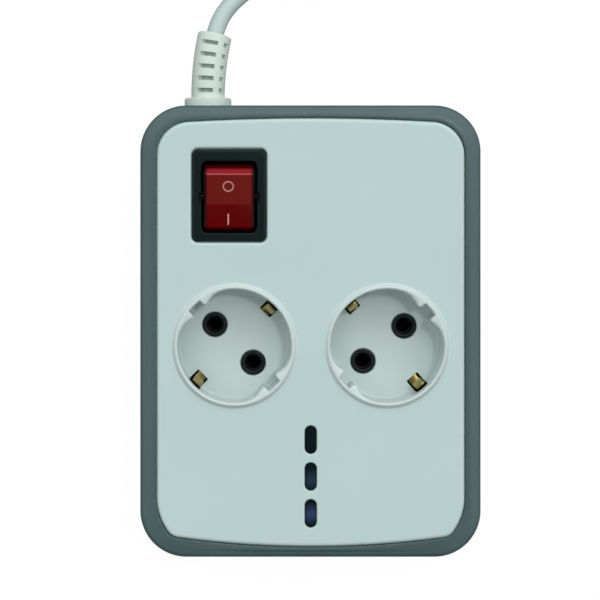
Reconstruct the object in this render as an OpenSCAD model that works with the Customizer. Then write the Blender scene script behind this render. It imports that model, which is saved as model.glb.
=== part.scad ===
// Voltage protector with two earthed sockets, a lit rocker switch, three
// indicator windows and a moulded mains lead. It lies on its back: +Z is up
// out of the front panel, +Y points to the cord end, and the origin is on the
// surface that the feet stand on, below the middle of the housing.

/* [Housing] */
// Width of the housing
case_w = 117.6; // [114:0.2:124]
// Length of the housing, far end to cord end
case_h = 156; // [152:0.5:164]
// Corner radius of the housing seen from the front
corner_r = 16; // [14:0.5:18]
// Depth of the rear case, up to the joint line
rear_depth = 20.5; // [19.5:0.5:24]
// Depth of the front frame, from the joint line
frame_depth = 20.5; // [19.5:0.5:24]
// Wall thickness of rear case and front frame
wall = 2.2; // [1.8:0.1:2.4]
// Rounding of the back edge
back_round = 3; // [1:0.5:4]
// Rounding of the front edge
front_round = 2; // [1:0.25:2.5]
// How far the rubber feet stand out of the back
foot_stand = 1.5; // [1:0.25:2.5]

/* [Front panel] */
// Width of the grey rim beside the panel
rim_side_w = 5.8; // [5.3:0.1:7.5]
// Width of the grey rim at the middle of the cord end
rim_top_w = 4.6; // [4.2:0.1:7]
// Width of the grey rim at the middle of the far end
rim_bottom_w = 3.95; // [3.8:0.05:6]
// Radius of the bowed edge at the cord end
panel_top_r = 750; // [500:10:1200]
// Radius of the bowed edge at the far end
panel_bottom_r = 340; // [280:10:500]
// Radius of the two corners at the cord end
panel_corner_r = 11.5; // [9:0.5:14]
// Radius at which the sides turn in at the far end
panel_side_r = 20; // [16:0.5:24]
// Radius of the two tight corners at the far end
panel_heel_r = 5; // [4:0.25:7]
// Thickness of the panel skin
skin_t = 2.4; // [2:0.1:2.8]
// How far the panel stands above the frame
panel_proud = 0.5; // [0.2:0.1:1]
// Rounding of the panel's edge
panel_round = 1.2; // [0.6:0.1:1.6]

/* [Sockets] */
// Distance of each socket from the centre line
socket_x = 26.3; // [26:0.1:27.5]
// Place of the sockets along the housing
socket_y = -5; // [-8:0.5:-2]
// Inner radius of the socket well
well_r = 19.5; // [19.2:0.1:19.8]
// Depth of the well from rim to floor
well_depth = 17.5; // [17:0.1:18]
// Outer radius of the raised rim
rim_r = 22; // [21.6:0.1:22.4]
// How far the rim stands above the panel
rim_proud = 1.2; // [0.6:0.1:1.6]
// Distance between the two contact pins
pin_pitch = 19; // [18.8:0.1:19.2]
// Radius of the pin holes
pin_hole_r = 2.7; // [2.6:0.05:2.8]
// Outer radius of the dark boss round each pin hole
pin_boss_r = 4.35; // [4.1:0.05:4.6]
// How far the guide ribs reach in from the wall
guide_reach = 2.2; // [1.8:0.1:2.4]
// Angle by which the right socket sits turned from the left one's mirror image
right_turn = 4.5; // [0:0.5:6]

/* [Rocker switch] */
// Distance of the switch from the centre line, to the left
switch_x = 28.1; // [26:0.1:29]
// Distance of the switch from the panel's edge at the cord end
switch_in = 26.6; // [25.9:0.1:28.4]
// Width of the switch's flange
bezel_w = 25.6; // [25:0.1:26]
// Length of the switch's flange
bezel_h = 31.8; // [31:0.1:32]
// Width of the opening that the rocker moves in
mouth_w = 19.4; // [19:0.1:19.8]
// Length of the opening that the rocker moves in
mouth_h = 24.9; // [24.6:0.1:25.4]
// Width of the rocker
rocker_w = 17.7; // [17:0.1:18.2]
// Radius of the rocker's ends round its pivot
rocker_end_r = 11.7; // [11.4:0.1:11.9]
// Tilt of the rocker each way from its middle
rocker_tilt = 10.5; // [9:0.5:12]
// Tilt of the contact levers each way
lever_tilt = 6; // [4:0.5:7]

/* [Indicator windows] */
// Width of a window
window_w = 4.2; // [3.8:0.1:4.8]
// Length of a window
window_h = 9.8; // [9:0.1:10.4]
// Distance between window centres
window_pitch = 12.7; // [12:0.1:13]
// Distance of the middle window from the panel's edge at the far end
window_in = 24.05; // [23.05:0.05:25.05]

/* [Mains lead] */
// Diameter of the lead
cord_d = 6.2; // [6:0.1:6.4]
// Distance of the lead's exit from the left side of the housing
relief_in = 23.3; // [22.8:0.1:24.8]
// Outer radius of the strain relief's sleeve
sleeve_r = 5.9; // [5.6:0.1:6.1]
// Length of the sleeve beyond its flange
sleeve_l = 22.5; // [21:0.5:24]
// Bend of the sleeve
sleeve_bend = 14.4; // [10:0.1:16]
// Radius of the relief's flange
relief_flange_r = 8.25; // [8:0.05:8.6]
// Outer radius of the coil, to the middle of the lead
coil_r = 46; // [45:0.5:47]
// Radius of the plug's body
plug_r = 18.5; // [18:0.1:18.6]
// Radius of the plug's pins
plug_pin_r = 2.4; // [2.4:0.01:2.45]
// Length of the plug's pins
plug_pin_l = 19; // [18.5:0.1:19.5]

/* [Hidden] */
// smoothness of round faces, overrun of every cut, and general clearance
$fn = 64;
cut = 0.6;
fit_gap = 0.1;
seat_gap = 0.3;

// levels of the stack, from the surface up
back_z = foot_stand;
floor_z = foot_stand + wall;
parting_z = foot_stand + rear_depth;
frame_top = parting_z + frame_depth;
panel_top = frame_top + panel_proud;
skin_z = panel_top - skin_t;
rim_top = panel_top + rim_proud;
well_floor = rim_top - well_depth;
lip_t = 1.6;
lip_z = frame_top - lip_t;
panel_flange_w = 1.4;
panel_flange_t = 1.8;
panel_flange_z = lip_z - fit_gap - panel_flange_t;
panel_gap = 0.3;
panel_wall = 2;
panel_w = case_w - 2 * rim_side_w;
panel_top_y = case_h / 2 - rim_top_w;
panel_bottom_y = case_h / 2 - rim_bottom_w;
tongue_t = 1;
tongue_h = 1.5;

// housing screws, standing in posts of the rear case and bosses of the panel
corner_screw_in = 13.3;
corner_screw_top_in = 15.5;
corner_screw_bottom_in = 18;
corner_screw_x = case_w / 2 - corner_screw_in;
corner_screw_top_y = case_h / 2 - corner_screw_top_in;
corner_screw_bottom_y = case_h / 2 - corner_screw_bottom_in;
middle_screw_up = 29;
middle_screw_down = 20;
middle_screw_top_y = socket_y + middle_screw_up;
middle_screw_bottom_y = middle_screw_down - socket_y;
post_r = 4;
post_rise = 1.9;
post_top = parting_z + post_rise;
boss_r = 3.5;
pilot_r = 1.35;
screw_r = 1.3;
screw_hole_r = 1.7;
screw_head_r = 3;
screw_head_t = 2.2;
screw_well_r = 3.4;
screw_seat_rise = 12.5;
screw_seat_z = back_z + screw_seat_rise;
screw_l = 20;

// feet, keyholes and the bare label field on the back
foot_r = 6;
foot_t = 2.5;
foot_side_in = 12.8;
foot_end_in = 32;
foot_x = case_w / 2 - foot_side_in;
foot_y = case_h / 2 - foot_end_in;
foot_round = 0.8;
keyhole_y = 45;
keyhole_head_r = 4.3;
keyhole_neck_r = 2.2;
keyhole_neck_l = 8;
label_w = 56;
label_h = 30;
label_r = 2;
label_deep = 0.3;

// outline of the panel: bowed ends, round shoulders and turned-in heels
heel_angle = 36;
bottom_centre_y = panel_bottom_r - panel_bottom_y;
top_centre_y = panel_top_y - panel_top_r;
side_centre_x = panel_w / 2 - panel_side_r;
heel_x = side_centre_x + (panel_side_r - panel_heel_r) * cos(heel_angle);
heel_y = bottom_centre_y - sqrt(pow(panel_bottom_r - panel_heel_r, 2) - pow(heel_x, 2));
side_centre_y = heel_y + (panel_side_r - panel_heel_r) * sin(heel_angle);
shoulder_x = panel_w / 2 - panel_corner_r;
shoulder_y = top_centre_y + sqrt(pow(panel_top_r - panel_corner_r, 2) - pow(shoulder_x, 2));

// socket wells
well_wall = 1.8;
well_floor_t = 1.8;
well_bottom = well_floor - well_floor_t;
well_flange_r = 24.2;
well_flange_t = 1.5;
rim_round = 1.2;
guide_start = 7.5;
guide_span = 27;
guide_top_gap = 0.4;
// share of the rib's span, and share of its reach there
guide_shares = [[0, 0], [0.04, 0.8], [0.1, 1], [0.2, 0.96], [0.36, 0.62], [0.6, 0.24], [1, 0]];
ear_r = 4;
ear_reach = 27.6;
ear_w = 6;
ear_t = 1.6;
ear_drop = 6.2;
ear_z = skin_z - ear_drop;
ear_boss_r = 3;
ear_pilot_r = 1.15;
ear_screw_r = 1.1;
ear_hole_r = 1.3;
ear_head_r = 2.6;
ear_head_t = 1.7;
ear_screw_l = 5;
clip_window_w = 5;
clip_window_in_r = 15.3;
clip_window_drop = 4.6;
clip_window_top = panel_top - clip_window_drop;

// contact carriers, contacts and earth straps
plate_r = 17;
plate_t = 3.2;
plate_top = well_bottom - fit_gap;
plate_z = plate_top - plate_t;
boss_proud = 0.2;
tower_r = 5.5;
sleeve_out_r = 3.9;
sleeve_in_r = 2.5;
chamber_r = 4.1;
slit_w = 0.9;
busbar_rise = 1.9;
busbar_z = floor_z + busbar_rise;
busbar_t = 1;
busbar_w = 6;
busbar_tab_l = 8;
strap_w = 3.5;
strap_t = 0.8;
strap_r = 18.7;
strap_pinch = 1.3;
strap_drop = 5;
strap_top = panel_top - strap_drop;
strap_knee_share = 0.4;
strap_nose_share = 0.7;
strap_tab_l = 8;
carrier_post_y = 14.5;
carrier_post_r = 2.5;

// switch: recess in the panel, housing, rocker, levers and blades
switch_y = panel_top_y - switch_in;
mouth_shift = 0.5;
recess_gap_x = 0.5;
recess_gap_y = 0.9;
recess_r = 3;
recess_floor_t = 1.8;
recess_wall = 2;
recess_deep = 2.4;
bezel_t = 1.6;
bezel_r = 2;
mouth_r = 2.2;
body_w = 21.8;
body_h = 27.8;
body_deep = 21.6;
body_floor_t = 3.2;
body_gap = 0.2;
notch_w = 3;
notch_deep = 0.8;
notch_h = 2.8;
snap_w = 8;
snap_t = 0.9;
snap_h = 2;
recess_z = panel_top - recess_deep;
bezel_top = recess_z + bezel_t;
body_z = recess_z - body_deep;
body_floor = body_z + body_floor_t;
mouth_y = switch_y - mouth_shift;
pivot_deep = 5.2;
pivot_z = bezel_top - pivot_deep;
pivot_r = 1.6;
pivot_gap = 0.06;
pivot_l = 1.8;
rocker_corner_y = 9.33;
rocker_corner_z = sqrt(pow(rocker_end_r, 2) - pow(rocker_corner_y, 2));
rocker_valley_y = -1.7;
rocker_valley_z = 5;
rocker_skirt = 15;
rocker_wall = 1.5;
rocker_top_t = 2;
pole_x = 4.7;
rocker_post_r = 2.6;
rocker_post_l = 5;
plunger_r = 1.8;
plunger_gap = 0.05;
plunger_top = 4.4;
plunger_tip = 8.7;
spring_wire_r = 0.2;
spring_r = 1.4;
spring_turns = 6;
lamp_r = 1.9;
lamp_l = 9;
lamp_y = 3.5;
lamp_z = 0.8;
lever_w = 4;
lever_l = 16;
lever_t = 0.8;
lever_z = pivot_z - plunger_tip - seat_gap - lever_t;
button_r = 1.5;
button_t = 0.8;
button_y = 7;
blade_w = 6.3;
blade_t = 0.8;
blade_z = 9.2;
stem_w = 4;
load_y = 9.8;
rest_arm_l = 4.4;
divider_t = 1.2;
divider_h = 7.8;
spade_w = 7.8;
spade_t = 3.2;
spade_l = 8;
spade_z = 9;

// circuit board in the lower part, with what it carries, placed from its middle
window_y = panel_bottom_y - window_in;
board_w = 80;
board_h = 41;
board_shift = 0.5;
board_y = -window_y - board_shift;
board_t = 1.6;
board_drop = 12.2;
board_z = skin_z - board_drop;
board_top = board_z + board_t;
standoff_in = 5;
standoff_x = board_w / 2 - standoff_in;
standoff_top_y = board_y + board_h / 2 - standoff_in;
standoff_bottom_y = board_y - board_h / 2 + standoff_in;
standoff_r = 3;
board_screw_r = 1.25;
board_head_r = 2.6;
board_head_t = 1.6;
board_screw_l = 8;
relay_size = [20, 16, 15];
relay_in = 20;
relay_down = 2.5;
relay_at = [board_w / 2 - relay_in, board_y - relay_down];
film_size = [18, 8.5, 14];
film_in = 21;
film_down = 1.5;
film_at = [film_in - board_w / 2, board_y - film_down];
can_r = 5;
can_l = 16;
can_down = 11.5;
can_at = [0, board_y - can_down];
disc_r = 7;
disc_t = 4.5;
disc_in = 14;
disc_down = 9.5;
disc_at = [disc_in - board_w / 2, board_y - disc_down];
disc_lead = 1.2;
fuse_r = 2.6;
fuse_l = 20;
fuse_in = 19;
fuse_up = 11.5;
fuse_at = [fuse_in - board_w / 2, board_y + fuse_up];
fuse_drop = 4;
clip_w = 5;
clip_t = 0.5;
diode_r = 1.3;
diode_l = 5.2;
diode_in = 20;
diode_down = 5.5;
diode_at = [diode_in - board_w / 2, board_y - diode_down];
diode_pitch = 4.2;
chip_size = [5, 4, 1.6];
chip_in = 26;
chip_up = 4.5;
chip_at = [board_w / 2 - chip_in, board_y + chip_up];
chip_leg = 1;
resistor_size = [3.2, 1.6, 0.6];
resistor_in = 16;
resistor_up = 6.5;
resistor_at = [board_w / 2 - resistor_in, board_y + resistor_up];
resistor_pitch = 3.4;
led_r = 2.4;
led_h = 6.6;
shroud_w = 9;
shroud_wall = 1.2;
lens_base_w = 7.4;
lens_base_t = 2;
lens_gap = 0.15;
lens_sink = 0.7;

// strain relief, clamp and the wires inside
relief_flange_t = 3.6;
relief_inner_t = 2;
relief_neck_r = 6.3;
relief_bore_gap = 0.1;
bend_overrun = 1;
relief_roll = 30;
slot_rows = 5;
slot_pitch = 4.1;
slot_first = 2.5;
slot_h = 1.25;
slot_core_r = 4.3;
slot_arc = 58;
slot_turn = -44;
flange_round = 0.8;
relief_z = parting_z;
relief_x = case_w / 2 - relief_in;
bend_r = sleeve_l / (sleeve_bend * PI / 180);
relief_top_y = case_h / 2 + relief_flange_t;
sheath_in = 13;
sheath_end_y = case_h / 2 - sheath_in;
clamp_in = 8.5;
clamp_y = case_h / 2 - clamp_in;
clamp_x = 8.5;
clamp_post_r = 3;
clamp_t = 3;
clamp_w = 7;
clamp_screw_r = 1.25;
clamp_screw_l = 9;
saddle_w = 4;
wire_r = 1.1;
core_x = 1.2;
core_z = 0.6;

// free run of the lead from the relief to the coil, and from the coil to the plug
run_route = [
    [-33.1, 103.9, 20.6], [-32.1, 107.3, 20], [-30.7, 110.5, 19.2], [-28.8, 113.5, 18.2],
    [-26.4, 116.3, 17], [-22.5, 119.8, 15.3], [-18.1, 122.7, 13.6], [-13.3, 124.8, 12.2],
    [-8.2, 126.1, 11.2], [-3.2, 126.5, 10.8]
];
tail_route = [
    [31.4, 135.8, 4.1], [37.5, 139.3, 4.8], [43.5, 142.8, 6.5], [50, 146.5, 9.1],
    [55.4, 150.4, 11.8], [59.9, 155.4, 14.4], [63.3, 161.2, 16.5], [65.3, 167.6, 18],
    [66, 174.2, 18.6]
];
coil_x = 3;
coil_y = 172.5;
coil_turns = 6 + 1 / 12;
coil_pitch = 6.8;
coil_step = 6.7;
coil_low_z = 4.1;
coil_rings = 24;
coil_sides = 6;
cord_sides = 10;
tie_angles = [60, 150];
tie_w = 7;
tie_t = 0.8;

// plug
plug_x = 66;
plug_y = 174.2;
plug_z = 18.6;
plug_relief_l = 20;
plug_relief_r = 4.2;
plug_relief_end_r = 5.4;
plug_neck_r = 8.5;
plug_grip_l = 20;
plug_body_l = 18;
plug_face_round = 1;
plug_waist_r = 14.5;
plug_groove_w = 5.2;
plug_groove_deep = 3.4;
plug_rib_count = 5;
plug_rib_pitch = 3.2;
plug_rib_w = 1.4;
plug_earth_w = 4;
plug_earth_t = 1;
plug_earth_sink = 2.2;
plug_earth_l = 12;
plug_pin_neck = 0.3;
plug_pin_root_r = 1.6;

// Outlines, as counter-clockwise points

function arc(centre, r, from, to, steps) =
    [for (i = [0:steps]) let (a = from + (to - from) * i / steps)
        centre + r * [cos(a), sin(a)]];

function round_rect(w, h, r, steps = 8) = concat(
    arc([w / 2 - r, h / 2 - r], r, 0, 90, steps),
    arc([r - w / 2, h / 2 - r], r, 90, 180, steps),
    arc([r - w / 2, r - h / 2], r, 180, 270, steps),
    arc([w / 2 - r, r - h / 2], r, 270, 360, steps));

// right half of the panel's edge, far end to cord end, moved out by grow
function half_outline(grow) =
    let (low = atan2(heel_y - bottom_centre_y, heel_x),
         high = atan2(shoulder_y - top_centre_y, shoulder_x))
    concat(
        arc([0, bottom_centre_y], panel_bottom_r + grow, -90, low, 4),
        arc([heel_x, heel_y], panel_heel_r + grow, low, -heel_angle, 5),
        arc([side_centre_x, side_centre_y], panel_side_r + grow, -heel_angle, 0, 4),
        arc([shoulder_x, shoulder_y], panel_corner_r + grow, 0, high, 7),
        arc([0, top_centre_y], panel_top_r + grow, high, 90, 4));

function panel_outline(grow) =
    let (half = half_outline(grow), n = len(half))
    concat(half, [for (i = [n - 2:-1:1]) [-half[i][0], half[i][1]]]);

function case_outline(inset) =
    round_rect(case_w - 2 * inset, case_h - 2 * inset, corner_r - inset);

function lift(points, z) = [for (p = points) [p[0], p[1], z]];

function unit(v) = v / norm(v);

// Solids made from rings of points

// joins counter-clockwise rings, stacked upwards, into one closed solid
module loft(rings) {
    n = len(rings[0]);
    last = (len(rings) - 1) * n;
    sides = [for (i = [0:len(rings) - 2], k = [0:n - 1])
        let (a = i * n + k, b = i * n + (k + 1) % n) each [[a, a + n, b + n], [a, b + n, b]]];
    bottom = [[for (k = [0:n - 1]) k]];
    top = [[for (k = [n - 1:-1:0]) last + k]];
    polyhedron([for (ring = rings) each ring], concat(bottom, sides, top));
}

// directions along a path, with its two ends given
function headings(path, first, last) = [for (i = [0:len(path) - 1])
    i == 0 ? unit(first) : i == len(path) - 1 ? unit(last) : unit(path[i + 1] - path[i - 1])];

// the side direction at each point, carried along without twist
function sides_along(t, start) = [for (i = 0, s = start; i < len(t);
    i = i + 1, s = i < len(t) ? unit(s - (s * t[i]) * t[i]) : s) s];

// a round tube along a path, as one closed skin of triangles
module tube(path, r, sides, first, last, start = [1, 0, 0]) {
    t = headings(path, first, last);
    s = sides_along(t, unit(start - (start * t[0]) * t[0]));
    rings = [for (i = [0:len(path) - 1]) let (u = cross(s[i], t[i]))
        [for (k = [0:sides - 1]) path[i] + r * (cos(360 * k / sides) * s[i]
            + sin(360 * k / sides) * u)]];
    end = (len(path) - 1) * sides;
    skin = [for (i = [0:len(path) - 2], k = [0:sides - 1])
        let (a = i * sides + k, b = i * sides + (k + 1) % sides)
        each [[a, b, b + sides], [a, b + sides, a + sides]]];
    caps = [for (k = [1:sides - 2]) each [[0, k + 1, k], [end, end + k, end + k + 1]]];
    polyhedron([for (ring = rings) each ring], concat(skin, caps));
}

module ring_bar(outer_r, inner_r, h) {
    difference() {
        cylinder(r = outer_r, h = h);
        translate([0, 0, -cut]) cylinder(r = inner_r, h = h + 2 * cut);
    }
}

// a box centred on X and Y that stands on z
module block(size, z) {
    translate([-size[0] / 2, -size[1] / 2, z]) cube(size);
}

// a screw with its head's underside at z = 0 and its shank along +Z
module screw(head_r, head_t, shank_r, l) {
    cross_w = head_r / 4;
    difference() {
        translate([0, 0, -head_t]) cylinder(r = head_r, h = head_t);
        for (a = [0, 90]) rotate(a)
            block([head_r * 1.3, cross_w, head_t], -head_t * 1.5);
    }
    cylinder(r = shank_r, h = l);
}

// Places

module at_case_screws() {
    for (x = [-corner_screw_x, corner_screw_x], y = [corner_screw_top_y, -corner_screw_bottom_y])
        translate([x, y, 0]) children();
    for (y = [middle_screw_top_y, -middle_screw_bottom_y])
        translate([0, y, 0]) children();
}

module at_feet() {
    for (x = [-foot_x, foot_x], y = [-foot_y, foot_y]) translate([x, y, 0]) children();
}

module at_standoffs() {
    for (x = [-standoff_x, standoff_x], y = [standoff_top_y, standoff_bottom_y])
        translate([x, y, 0]) children();
}

module at_clamp_posts() {
    for (x = [-clamp_x, clamp_x]) translate([x - relief_x, clamp_y, 0]) children();
}

// side is -1 for the left socket and 1 for the right one
module at_socket(side) {
    translate([side * socket_x, socket_y, 0]) children();
}

function turn_of(side) = side > 0 ? right_turn : 0;
function pin_angle(side) = 90 - 45 * side - turn_of(side);
function earth_angle(side) = 90 + 45 * side - turn_of(side);
function pin_place(side, end) = [side * socket_x + end * cos(pin_angle(side)) * pin_pitch / 2,
    socket_y + end * sin(pin_angle(side)) * pin_pitch / 2];

module at_pins(side) {
    for (end = [-1, 1]) translate(concat(pin_place(side, end), 0)) children();
}

module at_ears(side) {
    at_socket(side) for (end = [-1, 1]) translate([0, end * ear_reach, 0]) children();
}

module at_windows() {
    for (i = [-1, 0, 1]) translate([0, i * window_pitch - window_y, 0]) children();
}

module at_switch() {
    translate([-switch_x, switch_y, 0]) children();
}

// origin on the rocker's pivot
module at_pivot() {
    translate([-switch_x, mouth_y, pivot_z]) children();
}

module at_poles() {
    for (x = [-pole_x, pole_x]) translate([x, 0, 0]) children();
}

// Housing

module relief_hole() {
    translate([-relief_x, case_h / 2 + cut, relief_z]) rotate([90, 0, 0])
        cylinder(r = relief_neck_r + fit_gap, h = wall + 2 * cut);
}

module keyhole(y) {
    translate([0, y, back_z - cut]) {
        cylinder(r = keyhole_head_r, h = wall + 2 * cut);
        translate([0, keyhole_neck_l, 0]) cylinder(r = keyhole_neck_r, h = wall + 2 * cut);
        translate([-keyhole_neck_r, 0, 0])
            cube([2 * keyhole_neck_r, keyhole_neck_l, wall + 2 * cut]);
    }
}

module rear_shell() {
    edge = [for (i = [0:4]) let (a = 90 * i / 4)
        lift(case_outline(back_round * (1 - sin(a))), back_z + back_round * (1 - cos(a)))];
    difference() {
        loft(concat(edge, [lift(case_outline(0), parting_z)]));
        translate([0, 0, floor_z]) linear_extrude(rear_depth) polygon(case_outline(wall));
    }
    translate([0, 0, parting_z - cut]) linear_extrude(tongue_h + cut) difference() {
        polygon(case_outline(wall - tongue_t));
        polygon(case_outline(wall));
    }
}

module rear_case() {
    color("dimgray") difference() {
        union() {
            rear_shell();
            at_case_screws() translate([0, 0, back_z + label_deep])
                cylinder(r = post_r, h = post_top - back_z - label_deep);
            at_standoffs() translate([0, 0, back_z + wall / 2])
                cylinder(r = standoff_r, h = board_z - back_z - wall / 2);
            at_clamp_posts() translate([0, 0, back_z + wall / 2])
                cylinder(r = clamp_post_r, h = relief_z + cord_d / 2 - back_z - wall / 2);
            translate([-relief_x, clamp_y, 0]) block([2 * clamp_x, saddle_w,
                relief_z - cord_d / 2 - fit_gap - floor_z + cut], floor_z - cut);
            for (side = [-1, 1], end = [-1, 1])
                at_socket(side) translate([0, end * carrier_post_y, floor_z - cut])
                    cylinder(r = carrier_post_r, h = plate_z - fit_gap - floor_z + cut);
        }
        at_case_screws() {
            translate([0, 0, back_z - cut])
                cylinder(r = screw_well_r, h = screw_seat_z - back_z + cut);
            cylinder(r = screw_hole_r, h = post_top + cut);
        }
        at_standoffs() translate([0, 0, board_z - board_screw_l])
            cylinder(r = board_screw_r + plunger_gap, h = board_screw_l + cut);
        at_clamp_posts() translate([0, 0, relief_z + cord_d / 2 - clamp_screw_l])
            cylinder(r = clamp_screw_r + plunger_gap, h = clamp_screw_l + cut);
        at_feet() translate([0, 0, back_z - cut])
            cylinder(r = foot_r + fit_gap, h = foot_t - foot_stand + fit_gap + cut);
        keyhole(keyhole_y);
        keyhole(-keyhole_y);
        translate([0, 0, back_z - cut]) linear_extrude(label_deep + cut)
            polygon(round_rect(label_w, label_h, label_r, 3));
        relief_hole();
    }
}

module front_frame() {
    edge = [for (i = [0:4]) let (a = 90 * i / 4)
        lift(case_outline(front_round * (1 - cos(a))), frame_top - front_round * (1 - sin(a)))];
    color("slategray") difference() {
        loft(concat([lift(case_outline(0), parting_z)], edge));
        translate([0, 0, parting_z - cut]) linear_extrude(lip_z - parting_z + cut)
            polygon(case_outline(wall));
        translate([0, 0, parting_z - cut]) linear_extrude(tongue_h + fit_gap + cut)
            polygon(case_outline(wall - tongue_t - fit_gap));
        translate([0, 0, lip_z - cut]) linear_extrude(lip_t + 2 * cut)
            polygon(panel_outline(panel_gap));
        relief_hole();
    }
}

// Front panel

module obround(w, h) {
    for (y = [w - h, h - w]) translate([0, y / 2]) circle(d = w);
    square([w, h - w], center = true);
}

module panel_shell() {
    edge = [for (i = [0:3]) let (a = 90 * i / 3)
        lift(panel_outline(panel_round * (cos(a) - 1)), panel_top - panel_round * (1 - sin(a)))];
    difference() {
        union() {
            loft(concat([lift(panel_outline(0), panel_flange_z)], edge));
            translate([0, 0, panel_flange_z]) linear_extrude(panel_flange_t)
                polygon(panel_outline(panel_flange_w));
        }
        translate([0, 0, panel_flange_z - cut]) linear_extrude(skin_z - panel_flange_z + cut)
            polygon(panel_outline(-panel_wall));
    }
}

module recess_shape(grow) {
    polygon(round_rect(bezel_w + 2 * (recess_gap_x + grow), bezel_h + 2 * (recess_gap_y + grow),
        recess_r + grow, 5));
}

module front_panel() {
    tray_z = recess_z - recess_floor_t;
    color("gainsboro") difference() {
        union() {
            panel_shell();
            at_case_screws() translate([0, 0, post_top + fit_gap])
                cylinder(r = boss_r, h = skin_z - post_top - fit_gap + cut);
            for (side = [-1, 1]) at_ears(side) translate([0, 0, ear_z + ear_t + fit_gap])
                cylinder(r = ear_boss_r, h = skin_z - ear_z - ear_t - fit_gap + cut);
            at_switch() translate([0, 0, tray_z]) linear_extrude(panel_top - tray_z - cut)
                recess_shape(recess_wall);
        }
        at_case_screws() translate([0, 0, post_top])
            cylinder(r = pilot_r, h = screw_seat_z + screw_l - post_top + cut);
        for (side = [-1, 1]) {
            at_ears(side) translate([0, 0, ear_z])
                cylinder(r = ear_pilot_r, h = ear_t + ear_screw_l);
            at_socket(side) translate([0, 0, skin_z - cut])
                cylinder(r = rim_r + fit_gap, h = skin_t + 2 * cut);
        }
        at_switch() translate([0, 0, recess_z]) linear_extrude(recess_deep + cut)
            recess_shape(0);
        at_switch() block([body_w + 2 * body_gap, body_h + 2 * body_gap,
            recess_floor_t + 2 * cut], tray_z - cut);
        at_windows() translate([0, 0, skin_z - cut]) linear_extrude(skin_t + 2 * cut)
            obround(window_w, window_h);
    }
}

// Sockets

function well_profile() = concat(
    [[0, well_bottom], [well_r + well_wall, well_bottom],
     [well_r + well_wall, skin_z - fit_gap - well_flange_t],
     [well_flange_r, skin_z - fit_gap - well_flange_t], [well_flange_r, skin_z - fit_gap],
     [rim_r, skin_z - fit_gap]],
    arc([rim_r - rim_round, rim_top - rim_round], rim_round, 0, 90, 5),
    arc([well_r + rim_round, rim_top - rim_round], rim_round, 90, 180, 5),
    [[well_r, well_floor], [0, well_floor]]);

// a guide rib beside the pin axis, as points at the wall and along its nose
function guide_points(turn) = let (out = well_r + well_wall / 2)
    concat(
        [for (share = guide_shares) let (a = turn * (guide_start + share[0] * guide_span))
            (well_r - share[1] * guide_reach) * [cos(a), sin(a)]],
        [for (i = [3:-1:0]) let (a = turn * (guide_start + guide_span * i / 3))
            out * [cos(a), sin(a)]]);

module guide_ribs(side) {
    rotate(pin_angle(side)) for (half = [0, 180], turn = [-1, 1])
        rotate(half) translate([0, 0, well_floor - cut])
            linear_extrude(well_depth - guide_top_gap + cut) polygon(guide_points(turn));
}

module ears() {
    for (end = [-1, 1]) {
        translate([0, end * ear_reach, ear_z]) cylinder(r = ear_r, h = ear_t);
        translate([0, end * (well_r + well_wall / 2 + ear_reach) / 2, 0])
            block([ear_w, ear_reach - well_r - well_wall / 2, ear_t], ear_z);
    }
}

module socket_well(side) {
    window_l = well_r + well_wall + cut - clip_window_in_r;
    color("whitesmoke") difference() {
        at_socket(side) difference() {
            union() {
                rotate_extrude() polygon(well_profile());
                guide_ribs(side);
                ears();
            }
            rotate(earth_angle(side)) for (end = [0, 180]) rotate(end)
                translate([clip_window_in_r, -clip_window_w / 2, well_bottom - cut])
                    cube([window_l, clip_window_w, clip_window_top - well_bottom + cut]);
        }
        at_pins(side) translate([0, 0, well_bottom - cut])
            cylinder(r = pin_boss_r + fit_gap, h = well_floor_t + 2 * cut);
        at_ears(side) translate([0, 0, ear_z - cut])
            cylinder(r = ear_hole_r, h = ear_t + 2 * cut);
    }
}

module socket_well_left() { socket_well(-1); }
module socket_well_right() { socket_well(1); }

module contact_carrier(side) {
    tower_z = busbar_z + busbar_t + 4 * fit_gap;
    color("#20262a") difference() {
        union() {
            at_socket(side) translate([0, 0, plate_z]) cylinder(r = plate_r, h = plate_t);
            at_pins(side) {
                translate([0, 0, plate_z]) cylinder(r = pin_boss_r,
                    h = well_floor + boss_proud - plate_z);
                translate([0, 0, tower_z]) cylinder(r = tower_r, h = plate_z - tower_z + cut);
            }
        }
        at_pins(side) {
            translate([0, 0, tower_z - cut])
                cylinder(r = chamber_r, h = plate_z - tower_z + cut);
            translate([0, 0, plate_z - cut])
                cylinder(r = pin_hole_r, h = well_floor + boss_proud - plate_z + 2 * cut);
        }
        at_socket(side) rotate(earth_angle(side))
            block([2 * plate_r + 2 * cut, strap_w + 4 * fit_gap, strap_t + fit_gap + cut],
                plate_top - strap_t - fit_gap);
    }
}

module contact_carrier_left() { contact_carrier(-1); }
module contact_carrier_right() { contact_carrier(1); }

// a spring sleeve for one plug pin, slit down both sides
module contact_sleeve() {
    l = plate_z - fit_gap - busbar_z - busbar_t + cut;
    translate([0, 0, busbar_z + busbar_t - cut]) difference() {
        ring_bar(sleeve_out_r, sleeve_in_r, l);
        block([2 * sleeve_out_r + cut, slit_w, l], 3 * cut);
    }
}

// end is 1 for the pins nearer the cord and -1 for the pins nearer the windows
module busbar(end, tab) {
    place = pin_place(1, end);
    difference() {
        translate([-place[0] - busbar_w / 2, place[1] - busbar_w / 2, busbar_z])
            cube([2 * place[0] + busbar_w + tab, busbar_w, busbar_t]);
        translate([place[0] + busbar_w / 2 + tab / 2, place[1], busbar_z - cut])
            cylinder(r = wire_r + fit_gap, h = tab > 0 ? busbar_t + 2 * cut : cut / 2);
    }
    for (side = [-1, 1]) translate(concat(pin_place(side, end), 0)) contact_sleeve();
}

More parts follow.
